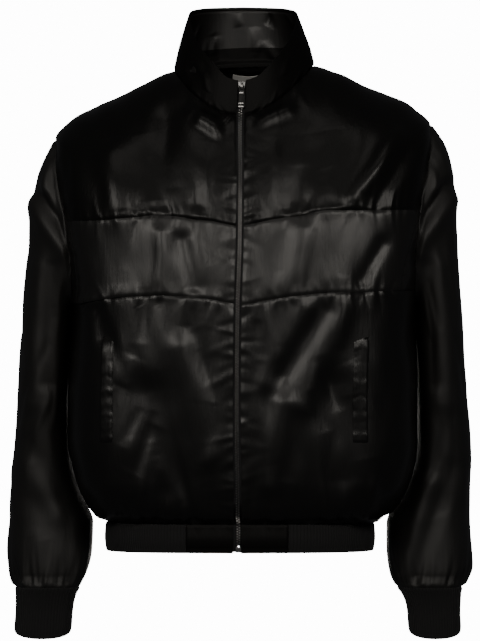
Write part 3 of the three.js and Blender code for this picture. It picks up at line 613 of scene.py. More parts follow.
SATIN = principled("black_satin", (0.0046, 0.0044, 0.0041), 0.34, specular=0.42)
# A darker, less shiny copy of the satin: painted shade on the front yokes.
SHADED_YOKE_SATIN = principled("black_satin_yoke_painted_shade", (0.0042, 0.004, 0.0037), 0.32, specular=0.26)
# A lighter, shinier copy of the satin: painted highlight on the chest bands and chest sides.
LIT_BAND_SATIN = principled("black_satin_band_painted_light", (0.0078, 0.0074, 0.0068), 0.38, specular=0.55)
# A rougher copy of the satin, whose lighter base colour and stronger sheen paint light on the sleeves.
LIT_SLEEVE_SATIN = principled("black_satin_sleeve_painted_light", (0.0085, 0.008, 0.0072), 0.56, specular=0.55)
# A darker copy of the satin with little sheen: painted shade on the collar's outside and on the hem tabs; the
# lower inside of the collar keeps it too.
SHADED_SATIN = principled("black_satin_painted_shade", (0.004, 0.0038, 0.0036), 0.5, specular=0.1)
# A lighter copy of the satin: painted light on the inside back of the collar, above its lower rows.
LIT_FACING_SATIN = principled("black_satin_facing_painted_light", (0.006, 0.0057, 0.0053), 0.4, specular=0.5)
KNIT_YARN = principled("black_knit", (0.009, 0.009, 0.0095), 0.8, sheen=0.12, specular=0.3)
TAPE_WEAVE = principled("black_tape", (0.011, 0.011, 0.012), 0.75, specular=0.3)
ZIP_METAL = principled("zip_metal", (0.36, 0.35, 0.34), 0.3, metallic=1.0)
TOOTH_METAL = principled("tooth_metal", (0.62, 0.61, 0.6), 0.32, metallic=1.0)
PLATE_METAL = principled("pull_plate_metal", (0.018, 0.018, 0.018), 0.45, metallic=1.0)
SLIDER_METAL = principled("slider_metal", (0.12, 0.12, 0.12), 0.3, metallic=1.0)
THREAD = principled("black_thread", (0.014, 0.014, 0.014), 0.5, specular=0.4)
LABEL_WEAVE = principled("plain_label", (0.78, 0.77, 0.75), 0.7, specular=0.2)
for satin in (SATIN, SHADED_YOKE_SATIN, LIT_BAND_SATIN, LIT_SLEEVE_SATIN, SHADED_SATIN, LIT_FACING_SATIN):
    add_bump(satin, 330, 0.0004, 0.55, stretch=(1, 1, 0.16))
add_bump(KNIT_YARN, 700, 0.0003, 0.6)
add_bump(TAPE_WEAVE, 900, 0.0002, 0.5)


def object_from(name, vertices, faces, material, body=JACKET):
    mesh = bpy.data.meshes.new(name)
    mesh.from_pydata((vertices * MM).tolist(), [], faces.tolist())
    mesh.polygons.foreach_set("use_smooth", np.ones(len(mesh.polygons), bool))
    mesh.materials.append(material)
    mesh.set_sharp_from_angle(angle=math.radians(50))
    mesh.update()
    piece = bpy.data.objects.new(name, mesh)
    bpy.context.scene.collection.objects.link(piece)
    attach(piece, body)
    return piece


def grid_index(layer, rows, columns, ring):
    index = layer * rows * columns + np.arange(rows * columns).reshape(rows, columns)
    return np.concatenate([index, index[:, :1]], axis=1) if ring else index


def quads(a, b, c, d):
    return np.stack([a.ravel(), b.ravel(), c.ravel(), d.ravel()], axis=1)


def shell(name, outer, inner, material, ring=False):
    """A thin closed shell between two grids of points, with the outer one counter-clockwise from outside."""
    rows, columns = outer.shape[:2]
    vertices = np.concatenate([outer.reshape(-1, 3), inner.reshape(-1, 3)])
    top = grid_index(0, rows, columns, ring)
    low = grid_index(1, rows, columns, ring)
    faces = [
        quads(top[:-1, :-1], top[:-1, 1:], top[1:, 1:], top[1:, :-1]),
        quads(low[:-1, :-1], low[1:, :-1], low[1:, 1:], low[:-1, 1:]),
        quads(top[0, :-1], low[0, :-1], low[0, 1:], top[0, 1:]),
        quads(top[-1, :-1], top[-1, 1:], low[-1, 1:], low[-1, :-1]),
    ]
    if not ring:
        faces.append(quads(top[:-1, 0], top[1:, 0], low[1:, 0], low[:-1, 0]))
        faces.append(quads(top[:-1, -1], low[:-1, -1], low[1:, -1], top[1:, -1]))
    return object_from(name, vertices, np.concatenate(faces), material)


def grid(columns, rows, ring=False):
    u = np.linspace(0, 1, columns + 1)
    if ring:
        u = u[:-1]
    return np.meshgrid(u, np.linspace(0, 1, rows + 1))


def copies_of(pattern, count, corners):
    """The faces of one small piece, repeated for each of its copies."""
    pattern = np.array(pattern)
    shift = corners * np.arange(count)[:, None, None]
    return (pattern[None] + shift).reshape(-1, pattern.shape[1])


def stitches(name, path, normals, pitch=3.4, length=2.5, thick=0.28, lift=0.12):
    """A row of sewn stitches along a path of points in millimetres."""
    steps = np.linalg.norm(np.diff(path, axis=0), axis=1)
    run = np.concatenate([[0], np.cumsum(steps)])
    middles = np.arange(pitch / 2, run[-1] - pitch / 2, pitch)

    def at(values, distance):
        return np.stack([np.interp(distance, run, values[:, axis]) for axis in range(3)], axis=1)

    start = at(path, middles - length / 2)
    end = at(path, middles + length / 2)
    normal = at(normals, middles)
    normal /= np.linalg.norm(normal, axis=1, keepdims=True)
    middle = (start + end) / 2 + lift * normal
    side = np.cross(normal, end - start)
    side /= np.linalg.norm(side, axis=1, keepdims=True)
    corners = [start, end]
    for away in (side, normal):
        corners += [middle + thick * away, middle - thick * away]
    vertices = np.stack(corners, axis=1).reshape(-1, 3)
    pattern = [(0, 2, 4), (0, 4, 3), (0, 3, 5), (0, 5, 2), (1, 4, 2), (1, 3, 4), (1, 5, 3), (1, 2, 5)]
    return object_from(name, vertices, copies_of(pattern, len(middles), len(corners)), THREAD)


# Puckers along the seams, shared by the pieces on both sides.
PUCKERS = {}
for number, name in enumerate(SIDES):
    PUCKERS["upper_" + name] = random_puckers(11 + number, -230, 230, 8, (2, 4), (6, 20), (0.5, 1.3))
    PUCKERS["lower_" + name] = random_puckers(21 + number, -230, 230, 8, (2, 4), (6, 20), (0.5, 1.3))
    PUCKERS["slant_" + name] = random_puckers(31 + number, -320, -180, 9, (2, 4), (5, 14), (0.4, 1.0))
    PUCKERS["zip_" + name] = random_puckers(41 + number, -570, -60, 13, (2.5, 6), (6, 26), (0.3, 0.9), 0.6)
    PUCKERS["hem_" + name] = random_puckers(51 + number, -175, 175, 7, (2.5, 4), (16, 45), (0.9, 2.2), 0.15)
    PUCKERS["drop_" + name] = random_puckers(61 + number, -190, 190, 30, (6, 10), (50, 90), (1.5, 3), 0.25)
    PUCKERS["armhole_" + name] = random_puckers(71 + number, -330, -60, 11, (2.5, 5), (8, 22), (0.5, 1.4))
    PUCKERS["neck_" + name] = random_puckers(81 + number, -90, 90, 9, (2, 4), (5, 16), (0.5, 1.2), 0.9)

DRAPE_FRONT = random_folds(5, 70, (-220, 220), (-60, -520), (-28, 28), (40, 130), (6, 15), (0.6, 1.7))
DRAPE_BACK = random_folds(6, 60, (-220, 220), (-60, -520), (-28, 28), (50, 150), (9, 20), (0.8, 2.2))


YOKE_FOLDS = table(
    FOLD_COLUMNS,
    [
        (-160, -80, -147, -176, 17, 3.2),
        (-120, -80, -112, -176, 14, -2.5),
        (176, -88, 150, -168, 11, 3),
        (100, -84, 108, -182, 28, -4),
        (40, -90, 44, -180, 10, 1.5),
        (-40, -92, -46, -182, 11, 1.8),
    ],
)


UNDERARM_FULLNESS = dict(middle=-322, reach=17, height=1.1)


def underarm_fullness(z):
    """The cloth of body and sleeve swells towards each other just under the arm."""
    away = (z - UNDERARM_FULLNESS["middle"]) / UNDERARM_FULLNESS["reach"]
    return UNDERARM_FULLNESS["height"] * np.exp(-away * away)


def both_faces(plain, normal, outer, inner):
    """A shell's two faces, each at its distance from the plain body, with the jacket's lean."""
    return tuple(slope_shoulders(plain + normal * away[..., None]) for away in (outer, inner))


def front_detail(name, angle, height, point, edges, puckered):
    """How far the front cloth stands off the plain body, from its distances to the edges."""
    x = point[..., 0]
    z = point[..., 2]
    relief = body_folds(angle, height, point)
    calm = smooth(edges["zip"], 4, 26) * smooth(edges["side"], 0, 16)
    drape = fold_height(DRAPE_FRONT, x, z, tapered=True) + satin_unevenness(401, x, z)
    relief += drape * calm * smooth(edges["foot"], 0, 20)
    relief += fold_height(YOKE_FOLDS, x, z, tapered=True) * calm * smooth(z, -196, -176)
    relief += pucker_height(PUCKERS["zip_" + name], z, edges["zip"])
    relief += pucker_height(PUCKERS["armhole_" + name], z, edges["side"])
    hem = np.maximum(height - HEM_SEAM, 0)
    calm_zip = smooth(edges["zip"], 0, 12)
    rising = smooth(hem, 0, 7)
    relief += pucker_height(PUCKERS["hem_" + name], x, hem) * rising * calm_zip
    relief += pucker_height(PUCKERS["drop_" + name], x, hem) * rising * calm_zip
    for away in edges.values():
        relief += edge_roll(away)
    relief += (underarm_fullness(z) * (1 + ROLL)) * smooth(edges["side"], 40, 8)
    for seam, edge in puckered.items():
        relief += pucker_height(PUCKERS[seam + "_" + name], z if seam == "slant" else x, edges[edge])
    return relief


SIDE_MM_PER_DEGREE = 2.6
FRONT_WIDTH = 210


def front_panel(name, below, above, start, end, puckered, slant=None):
    """A function of the shares across and up that gives a front panel's two faces and its normals.

    puckered names the edge that each seam's gathers run along, slant the end that the slanted seam is on.
    """
    side = SIDES[name]

    def surface(u, v):
        across = lerp(start(v), end(v), u if side > 0 else 1 - u)
        height = lerp(below(across), above(across), v)
        edge = 90 - armhole_angle(height)
        angle = front_place(side, across, height)
        plain = plain_body(angle, height)
        normal = normal_of(plain_body, angle, height)
        edges = dict(
            foot=height - below(across),
            head=above(across) - height,
            zip=np.abs(plain[..., 0] - RING["sway"](height)) - ZIP_OPENING,
            side=(edge - np.abs(angle)) * SIDE_MM_PER_DEGREE,
        )
        if slant:
            from_slant = across - start(v) if slant == "start" else end(v) - across
            edges["slant"] = from_slant * FRONT_WIDTH
        relief = front_detail(name, angle, height, plain, edges, puckered)
        return *both_faces(plain, normal, relief, relief - SHELL), normal

    return surface


def zero(share):
    return 0 * share


def one(share):
    return 0 * share + 1


def hem_line(across):
    return HEM_SEAM + 0 * across


def neck_line(across):
    return NECK_SEAM + 0 * across


def cloth(nodes):
    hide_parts(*nodes)


FRONT_STEP = 2.4
LOWER_SEAMS = dict(lower="head")
BAND_SEAMS = dict(lower="foot", upper="head")
SLANT_SEAMS = dict(lower="foot", upper="head", slant="slant")
YOKE_SEAMS = dict(upper="foot", neck="head")
# Each front panel's cut in metres, and its rough size in millimetres.
# The chest band and side take a lighter copy of the satin that paints their highlight, the yoke a darker copy
# that paints its shade.
FRONT_CUTS = {
    "front_lower_": dict(flat=(0.31, 0.3), area=0.088, wide=290, tall=282, satin=SATIN),
    "chest_band_": dict(flat=(0.235, 0.11), area=0.0222, wide=225, tall=105, satin=LIT_BAND_SATIN),
    "chest_side_": dict(flat=(0.055, 0.115), area=0.003, wide=55, tall=105, satin=LIT_BAND_SATIN),
    "front_yoke_": dict(flat=(0.29, 0.25), area=0.0475, wide=270, tall=175, satin=SHADED_YOKE_SATIN),
}


def build_fronts():
    for name in SIDES:
        upper = SEAM[name]["upper"]
        lower = SEAM[name]["lower"]
        foot = SLANT_SEAM[name]["foot"]
        top = SLANT_SEAM[name]["top"]

        def slant(share, foot=foot, top=top):
            return lerp(foot, top, share)

        panels = table(
            "part below above start end puckered slant",
            [
                ("front_lower_", hem_line, lower, zero, one, LOWER_SEAMS, None),
                ("chest_band_", lower, upper, zero, slant, SLANT_SEAMS, "end"),
                ("chest_side_", lower, upper, slant, one, SLANT_SEAMS, "start"),
                ("front_yoke_", upper, neck_line, zero, one, YOKE_SEAMS, None),
            ],
        )
        for row in panels:
            part = row.pop("part")
            cut = FRONT_CUTS[part]
            u, v = grid(round(cut["wide"] / FRONT_STEP), round(cut["tall"] / FRONT_STEP))
            outer, inner, _ = front_panel(name, **row)(u, v)
            piece = shell(part + name + "_cloth", outer, inner, cut["satin"])
            cloth([part + name])


def back_surface(u, v):
    height = lerp(HEM_SEAM, NECK_SEAM, v)
    edge = 90 + armhole_angle(height)
    angle = lerp(edge, 360 - edge, u)
    plain = plain_body(angle, height)
    normal = normal_of(plain_body, angle, height)
    x = plain[..., 0]
    z = plain[..., 2]
    side = np.minimum(angle - edge, 360 - edge - angle) * SIDE_MM_PER_DEGREE
    hem = height - HEM_SEAM
    relief = body_folds(angle, height, plain)
    drape = fold_height(DRAPE_BACK, x, z, tapered=True) + satin_unevenness(403, x, z)
    relief += drape * smooth(side, 0, 16) * smooth(hem, 0, 24)
    relief += pucker_height(PUCKERS["armhole_left"], z, side)
    relief += pucker_height(PUCKERS["hem_left"], x, hem) * smooth(hem, 0, 7)
    relief += pucker_height(PUCKERS["drop_left"], x, hem) * smooth(hem, 0, 7)
    relief += pucker_height(PUCKERS["neck_left"], x, NECK_SEAM - height)
    relief += edge_roll(hem) + edge_roll(NECK_SEAM - height) + edge_roll(side)
    relief += (underarm_fullness(z) * (1 + ROLL)) * smooth(side, 40, 8)
    return both_faces(plain, normal, relief, relief - SHELL)


def build_back():
    u, v = grid(170, 170)
    outer, inner = back_surface(u, v)
    piece = shell("back_cloth", outer, inner, SATIN)
    cloth(["back"])


# How far the sleeve's head reaches under the body's edge, and how much deeper it lies there.
HEAD_TUCK = dict(under=4, deeper=2)
SLEEVE_ROUND = 400
SECTION_STEP = 26
LAST = len(SLEEVE_SECTIONS) - 1


def sleeve_surface(name):
    side = SIDES[name]
    seed = 100 + side
    around = (0, SLEEVE_ROUND)
    drape = random_folds(seed, 46, around, (-100, -640), (-40, 40), (40, 120), (6, 14), (0.7, 2))
    cuff = random_puckers(seed + 10, 0, SLEEVE_ROUND, 9, (2.5, 5), (18, 45), (1, 2.6), 0.2)
    head = random_puckers(seed + 20, 0, SLEEVE_ROUND, 12, (3, 6), (10, 30), (0.6, 1.8), 0.4)

    def plain(turn, along):
        return plain_sleeve(side, side * turn, along)

    def surface(u, v):
        turn = 360 * u
        along = LAST * v
        point = plain(turn, along)
        normal = normal_of(plain, turn, along)
        sine = np.sin(np.radians(side * turn))
        cosine = np.cos(np.radians(turn))
        round_it = SLEEVE_ROUND * u
        facing = np.where(sine > 0, smooth(sine, 0, 0.5), BACK_OF_SLEEVE * smooth(-sine, 0, 0.5))
        ends = smooth(along, 0, 0.8) * smooth(along, LAST, LAST - 0.8)
        outward = 1 - 0.85 * smooth(-cosine, 0.35, 0.8)
        foot = np.maximum(SLEEVE["outerZ"](along) - SLEEVE_SECTIONS[-1]["outerZ"], 0)
        top = along * SECTION_STEP
        folds = fold_height(SLEEVE_FOLDS + LOW_SLEEVE_FOLDS[name], np.abs(point[..., 0]), point[..., 2])
        relief = folds * facing * ends * outward
        uneven = satin_unevenness(405 + side, round_it, point[..., 2], SLEEVE_ROUND)
        uneven += fold_height(drape, round_it, point[..., 2], SLEEVE_ROUND, True)
        uneven += facing * np.where(sine > 0, lerp(1.5, -4.5, smooth(point[..., 2], -520, -635)), 0)
        relief += uneven * ends * outward
        relief += pucker_height(cuff, round_it, foot, SLEEVE_ROUND) * smooth(foot, 0, 7)
        relief += pucker_height(head, round_it, top, SLEEVE_ROUND) * smooth(top, 0, 5) * outward
        relief += edge_roll(foot) + edge_roll(top)
        relief += underarm_fullness(point[..., 2]) * smooth(-cosine, 0.6, 0.9)
        outer = point + normal * relief[..., None]
        inner = point + normal * (relief - SHELL)[..., None]
        return outer, inner, normal

    return surface


def build_sleeves():
    for name in SIDES:
        u, v = grid(150, 210, ring=True)
        outer, inner, normal = sleeve_surface(name)(u, v)
        tuck = points(-SIDES[name] * HEAD_TUCK["under"], 0, 0) - normal[:1] * HEAD_TUCK["deeper"]
        outer = np.concatenate([outer[:1] + tuck, outer])
        inner = np.concatenate([inner[:1] + tuck, inner])
        node = "sleeve_" + name
        # The sleeves take the rougher satin copy whose lighter base colour paints light on them.
        piece = shell(node + "_cloth", outer, inner, LIT_SLEEVE_SATIN, ring=True)
        cloth([node])


CUFF_RIBS = 60
HEM_RIBS = 230


def rib(phase):
    """A knitted rib's round wale and narrow furrow."""
    return 0.75 * (np.abs(np.cos(math.pi * phase)) ** 0.7) - 0.35


def build_cuffs():
    last = len(CUFF_SECTIONS) - 1
    for name, side in SIDES.items():

        def plain(turn, along, side=side):
            point = oval(CUFF, side, side * turn, along)
            dip = CUFF_DIP * np.sin(np.radians(side * turn)) * (along / last) ** 2
            return point - points(0 * dip, 0 * dip, dip)

        u, v = grid(CUFF_RIBS * 6, 16, ring=True)
        turn = 360 * u
        along = last * v
        point = plain(turn, along)
        normal = normal_of(plain, turn, along)
        relief = rib(CUFF_RIBS * u) + 0.5 - 1.2 * np.exp(-((v / 0.05) ** 2)) - 0.6 * smooth(v, 0.95, 1)
        outer = point + normal * relief[..., None]
        inner = point - normal * (KNIT - 0.4 - 0.3 * rib(CUFF_RIBS * u + 0.5))[..., None]
        piece = shell("cuff_" + name + "_knit", outer, inner, KNIT_YARN, ring=True)
        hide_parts("cuff_" + name)


def build_hem():
    u, v = grid(HEM_RIBS * 6, 12)
    height = lerp(HEM, HEM_SEAM, v)
    start = angle_at(HEM_TAB, height)
    angle = lerp(start, 360 - start, u)
    point = plain_body(angle, height)
    normal = normal_of(plain_body, angle, height)
    relief = rib(HEM_RIBS * u) + 0.5 - 1.2 * np.exp(-(((1 - v) / 0.06) ** 2)) - 0.6 * smooth(v, 0.06, 0)
    outer = point + normal * relief[..., None]
    inner = point - normal * (KNIT - 0.4 - 0.3 * rib(HEM_RIBS * u + 0.5))[..., None]
    piece = shell("hem_rib_knit", outer, inner, KNIT_YARN)
    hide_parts("hem_rib")
    for name, side in SIDES.items():
        u, v = grid(40, 24)
        height = lerp(HEM, HEM_SEAM, v)
        share = u if side > 0 else 1 - u
        distance = lerp(ZIP_OPENING, HEM_TAB, share)
        angle = side * lerp(angle_at(ZIP_OPENING, height), angle_at(HEM_TAB, height), share)
        point = plain_body(angle, height)
        normal = normal_of(plain_body, angle, height)
        foot = height - HEM
        head = HEM_SEAM - height
        tacks = random_puckers(200 + side, 0, 70, 8, (2, 4), (4, 12), (0.2, 0.6))
        relief = edge_roll(foot) * 0.6 + edge_roll(head) + edge_roll(distance - ZIP_OPENING) * 0.6
        relief = relief + edge_roll(HEM_TAB - distance) + pucker_height(tacks, distance, head)
        relief += 0.5 - 0.5 * np.exp(-(((foot - 6) / 1.2) ** 2))
        outer = point + normal * relief[..., None]
        inner = point + normal * (relief - SHELL)[..., None]
        # The hem tabs take the darker, less shiny copy of the satin: painted shade.
        piece = shell("hem_tab_" + name + "_cloth", outer, inner, SHADED_SATIN)
        cloth(["hem_tab_" + name])


COLLAR_OUTER_FOLDS = random_folds(301, 34, (-180, 180), (62, 6), (-45, 45), (18, 50), (4, 9), (0.5, 1.5))
COLLAR_INNER_FOLDS = random_folds(302, 46, (-180, 180), (66, 0), (-50, 50), (16, 45), (3, 7), (0.6, 1.8))
COLLAR_HEIGHT = 68
COLLAR_ROUND = 450
# The row of the collar's inner face above which the lighter satin copy paints light.
LIT_FACING_FROM_ROW = 15


def collar_surface(angle, rise):
    plain = plain_collar(angle, rise)
    normal = normal_of(plain_collar, angle, rise)
    round_it = (angle - 180) * COLLAR_ROUND / 360
    up = rise * COLLAR_HEIGHT
    foot = np.exp(-((up / 3) ** 2))
    top = COLLAR_HEIGHT - up
    neck = PUCKERS["neck_left"]
    calm = smooth(up, 0, 8) * smooth(top, 0, 9)
    outer_relief = fold_height(COLLAR_OUTER_FOLDS, round_it, up, COLLAR_ROUND, True) * calm
    outer_relief += pucker_height(neck, plain[..., 0], up) - 1.3 * foot
    inner_relief = fold_height(COLLAR_INNER_FOLDS, round_it, up, COLLAR_ROUND, True) * calm
    inner_relief += 0.9 * np.exp(-(((top - 4.5) / 0.9) ** 2)) - 0.35 * smooth(top, 4, 2)
    outer_relief = np.where(up < 0, -3.2, outer_relief)
    inner_relief = inner_relief - 2.2 * smooth(up, 5, 0)
    outer = plain + normal * outer_relief[..., None]
    inner = plain + normal * (inner_relief - COLLAR_WALL)[..., None]
    return outer, inner, normal


def build_collar():
    rise = np.concatenate([(-0.05, -0.002), np.linspace(0, 0.88, 44), np.linspace(0.88, 1, 15)[1:]])
    u, v = np.meshgrid(np.linspace(0, 1, 260), rise)
    start = collar_angle(ZIP_OPENING, v)
    outer, inner, _ = collar_surface(lerp(start, 360 - start, u), v)
    piece = shell("collar_cloth", outer, inner, SHADED_SATIN)
    rows, columns = outer.shape[:2]
    inside = (rows - 1) * (columns - 1)
    # The inner faces above the given row take the lighter copy of the satin, painted light; the outside and
    # the lower inner faces keep the darker copy.
    piece.data.materials.append(LIT_FACING_SATIN)
    face = np.arange(len(piece.data.polygons))
    painted_light_faces = (face // inside == 1) & ((face - inside) // (columns - 1) > LIT_FACING_FROM_ROW)
    piece.data.polygons.foreach_set("material_index", painted_light_faces.astype(int))
    cloth(["collar"])


def build_pockets():
    for name, side in SIDES.items():
        u, v = grid(12, 60)
        across = u if side > 0 else 1 - u
        distance = POCKET_MIDDLE[name] + POCKET["width"] * (across - 0.5)
        height = lerp(POCKET["foot"], POCKET["top"] + POCKET["slant"] * (across - 0.5), v)
        angle = side * angle_at(distance, height)
        plain = plain_body(angle, height)
        normal = normal_of(plain_body, angle, height)
        relief = body_folds(angle, height, plain)
        relief += fold_height(DRAPE_FRONT, plain[..., 0], plain[..., 2], tapered=True)
        relief += satin_unevenness(401, plain[..., 0], plain[..., 2])
        edge = np.minimum(across, 1 - across) * POCKET["width"]
        end = np.minimum(height - POCKET["foot"], POCKET["top"] - height)
        soft = edge_roll(edge * 1.6) * 0.8 + edge_roll(end) * 0.8
        tacks = random_puckers(210 + side, -480, -330, 10, (2, 4), (6, 12), (0.2, 0.6))
        soft += pucker_height(tacks, height, edge)
        outer, inner = both_faces(plain, normal, relief + soft + POCKET["proud"], relief + 0.2)
        welt = "pocket_welt_" + name
        piece = shell(welt + "_cloth", outer, inner, SATIN)
        cloth([welt])


TOOTH_PITCH = 1.6
CHAIN_TOP = -31
CHAIN_FOOT = -604


def build_teeth():
    heights = np.arange(CHAIN_FOOT, CHAIN_TOP, TOOTH_PITCH)
    side = np.where(np.arange(len(heights)) % 2, 1.0, -1.0)
    middle = centre_front(0, heights)
    upward = centre_front(0, heights + 0.5) - centre_front(0, heights - 0.5)
    upward /= np.linalg.norm(upward, axis=1, keepdims=True)
    across = np.tile([1.0, 0, 0], (len(heights), 1))
    out = np.cross(across, upward)
    out /= np.linalg.norm(out, axis=1, keepdims=True)
    centre = middle + across * (side * 1.25)[:, None] - out * 0.9
    corners = []
    for depth, wide, tall in ((-1.1, 1.0, 0.5), (0.7, 1.0, 0.5), (1.1, 0.75, 0.3)):
        for x, z in ((-1, -1), (1, -1), (1, 1), (-1, 1)):
            corners.append(centre + across * wide * x + upward * tall * z + out * depth)
    vertices = np.stack(corners, axis=1).reshape(-1, 3)
    pattern = [(3, 2, 1, 0), (8, 9, 10, 11)]
    for layer in (0, 4):
        for corner in range(4):
            after = (corner + 1) % 4
            pattern.append((layer + corner, layer + after, layer + 4 + after, layer + 4 + corner))
    faces = copies_of(pattern, len(heights), len(corners))
    piece = object_from("zip_teeth", vertices, faces, TOOTH_METAL)
    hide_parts("zip_chain")


def polished(node, name, width, body=JACKET, metal=ZIP_METAL):
    """A CAD node's own shape with its edges rounded."""
    source = frame["nodes"][node]
    piece = bpy.data.objects.new(name, source.data.copy())
    bpy.context.scene.collection.objects.link(piece)
    weld = piece.modifiers.new("weld", "WELD")
    weld.merge_threshold = 0.00001
    bevel = piece.modifiers.new("bevel", "BEVEL")
    bevel.width = width * MM
    bevel.segments = 2
    bevel.limit_method = "ANGLE"
    bevel.angle_limit = math.radians(35)
    bpy.context.view_layer.update()
    shaped = piece.evaluated_get(bpy.context.evaluated_depsgraph_get())
    mesh = bpy.data.meshes.new_from_object(shaped)
    piece.modifiers.clear()
    piece.data = mesh
    mesh.materials.clear()
    mesh.materials.append(metal)
    mesh.polygons.foreach_set("use_smooth", np.ones(len(mesh.polygons), bool))
    mesh.set_sharp_from_angle(angle=math.radians(40))
    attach(piece, body)
    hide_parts(node)
    return piece


# The pull's raised bars: how far under its pin, half the height and half the width, in millimetres.
PULL_BARS = table("under half_tall half_wide", [(8.2, 0.6, 2.6), (21.6, 0.55, 3), (25.7, 0.7, 3.2)])
PLATE_FACE = 0.6
BAR_PROUD = 0.35


def build_pull_bars():
    pin = np.array(frame["joints"][0]["pos_m"]) / MM
    upward = centre_front(0, pin[2] + 0.5) - centre_front(0, pin[2] - 0.5)
    upward /= np.linalg.norm(upward)
    across = np.array([1.0, 0, 0])
    out = np.cross(across, upward)
    vertices = []
    for row in PULL_BARS:
        for depth in (PLATE_FACE - 0.2, PLATE_FACE + BAR_PROUD):
            for x, z in ((-1, -1), (1, -1), (1, 1), (-1, 1)):
                shift = across * row["half_wide"] * x + upward * (row["half_tall"] * z - row["under"])
                vertices.append(pin + shift + out * depth)
    box = [(3, 2, 1, 0), (4, 5, 6, 7), (0, 1, 5, 4), (1, 2, 6, 5), (2, 3, 7, 6), (3, 0, 4, 7)]
    faces = copies_of(box, len(PULL_BARS), 8)
    object_from("pull_tab_bars", np.array(vertices), faces, TOOTH_METAL, PULL_TAB)


def build_zip():
    build_teeth()
    polished("zip_slider", "slider_body", 0.35, metal=SLIDER_METAL)
    polished("zip_bridge", "slider_bridge", 0.25)
    polished("zip_box", "zip_end_box", 0.3)
    polished("zip_pull", "pull_tab_plate", 0.22, PULL_TAB, PLATE_METAL)
    build_pull_bars()
    for name in SIDES:
        tape = frame["nodes"]["zip_tape_" + name]
        tape.data.materials.clear()
        tape.data.materials.append(TAPE_WEAVE)


LABEL = dict(middle=8, width=41, top=-74, length=24, thickness=0.8, clearance=3.4)
LABEL_SAG = dict(ends=1.2, middle=5.4)


def build_label():
    """A woven label on the solid's own surface, with a sagging top edge."""
    u, v = grid(24, 10)
    sag = lerp(LABEL_SAG["middle"], LABEL_SAG["ends"], (2 * u - 1) ** 2)
    height = LABEL["top"] - LABEL["length"] * (1 - v) - sag * v
    x = LABEL["middle"] + LABEL["width"] * (0.5 - u)
    angle = 180 - np.degrees(np.arcsin(x / RING["halfWidth"](height)))
    plain = plain_body(angle, height)
    normal = normal_of(plain_body, angle, height)
    depth = body_folds(angle, height, plain) - CLOTH - LABEL["clearance"]
    outer, inner = both_faces(plain, normal, depth, depth - LABEL["thickness"])
    piece = shell("neck_label_weave", outer, inner, LABEL_WEAVE)
    cloth(["neck_label"])


STITCH_LINE = 0.028


def build_stitches():
    """One stitched line beside the zip on each front panel."""
    v = np.linspace(0.02, 0.985, 260)
    for name, side in SIDES.items():
        upper = SEAM[name]["upper"]
        lower = SEAM[name]["lower"]
        share = STITCH_LINE if side > 0 else 1 - STITCH_LINE
        for part, below, above, puckered in (
            ("front_lower_", hem_line, lower, LOWER_SEAMS),
            ("chest_band_", lower, upper, BAND_SEAMS),
            ("front_yoke_", upper, neck_line, YOKE_SEAMS),
        ):
            surface = front_panel(name, below, above, zero, one, puckered)
            outer, _, normal = surface(np.full(v.shape, share), v)
            stitches("stitch_" + part + name, outer, normal)


build_fronts()
build_back()
build_sleeves()
build_cuffs()
build_hem()
build_collar()
build_pockets()
build_zip()
build_label()
build_stitches()


# Stage, camera and light.
STAGE = dict(radius=26, floor=-1.1, rings=12, turns=48, glow=14)


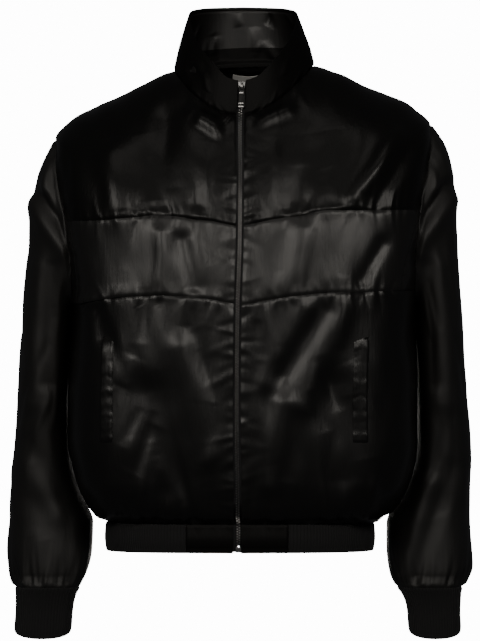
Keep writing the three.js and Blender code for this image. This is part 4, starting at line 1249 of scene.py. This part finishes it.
def stage_dome():
    """A plain pale floor under a dome, wide enough for a camera on any side, and out of the reflections."""
    around = np.radians(np.linspace(0, 360, STAGE["turns"], endpoint=False))
    corners = []
    for rise in np.radians(np.linspace(0, 88, STAGE["rings"])):
        reach = STAGE["radius"] * math.cos(rise)
        height = STAGE["floor"] + STAGE["radius"] * math.sin(rise)
        corners += [(reach * math.cos(turn), reach * math.sin(turn), height) for turn in around]
    index = grid_index(0, STAGE["rings"], STAGE["turns"], True)
    faces = quads(index[:-1, :-1], index[1:, :-1], index[1:, 1:], index[:-1, 1:]).tolist()
    faces += [index[0, :-1].tolist(), index[-1, :-1].tolist()]
    mesh = bpy.data.meshes.new("floor")
    mesh.from_pydata(corners, [], faces)
    dome = bpy.data.objects.new("floor", mesh)
    bpy.context.scene.collection.objects.link(dome)
    paper = principled("pale_floor", (0.9, 0.9, 0.9), 0.9, specular=0.1)
    paper.node_tree.nodes["Principled BSDF"].inputs["Emission Color"].default_value = (1, 1, 1, 1)
    paper.node_tree.nodes["Principled BSDF"].inputs["Emission Strength"].default_value = STAGE["glow"]
    mesh.materials.append(paper)
    dome.visible_glossy = False
    dome.visible_diffuse = False


def add_camera():
    data = bpy.data.cameras.new("camera")
    data.sensor_fit = "HORIZONTAL"
    data.sensor_width = SENSOR
    data.lens = SENSOR * CAMERA_DISTANCE / (IMAGE_WIDTH * PIXEL_MM * MM)
    data.clip_end = 60
    camera = bpy.data.objects.new("camera", data)
    camera.location = (0, -CAMERA_DISTANCE, CAMERA_HEIGHT)
    camera.rotation_euler = (math.pi / 2, 0, 0)
    bpy.context.scene.collection.objects.link(camera)
    bpy.context.scene.camera = camera


LIGHTS = table(
    "name x y z wide tall power aim_z",
    [
        ("left_box", -1.3, -3, 0.95, 1.6, 0.6, 26, -0.25),
        ("right_box", 1.1, -3, 0.95, 1.4, 0.6, 22, -0.25),
        ("top_box", 0, -1.6, 2.4, 1.6, 0.8, 4, -0.1),
        ("back_box", 0, 3, -0.8, 1.6, 0.4, 14, -0.35),
    ],
)


WARM_WHITE = (1, 0.95, 0.88)


def add_lights():
    for row in LIGHTS:
        data = bpy.data.lights.new(row["name"], "AREA")
        data.shape = "RECTANGLE"
        data.size = row["wide"]
        data.size_y = row["tall"]
        data.energy = row["power"]
        data.color = WARM_WHITE
        light = bpy.data.objects.new(row["name"], data)
        light.location = (row["x"], row["y"], row["z"])
        light.visible_camera = False
        aim = Vector((0, 0, row["aim_z"])) - light.location
        light.rotation_euler = aim.to_track_quat("-Z", "Y").to_euler()
        bpy.context.scene.collection.objects.link(light)


def set_world():
    world = bpy.data.worlds.new("studio")
    bpy.context.scene.world = world
    world.use_nodes = True
    dim = world.node_tree.nodes["Background"]
    dim.inputs["Color"].default_value = (0.95, 0.96, 1, 1)
    dim.inputs["Strength"].default_value = 0.05


stage_dome()
add_camera()
add_lights()
set_world()
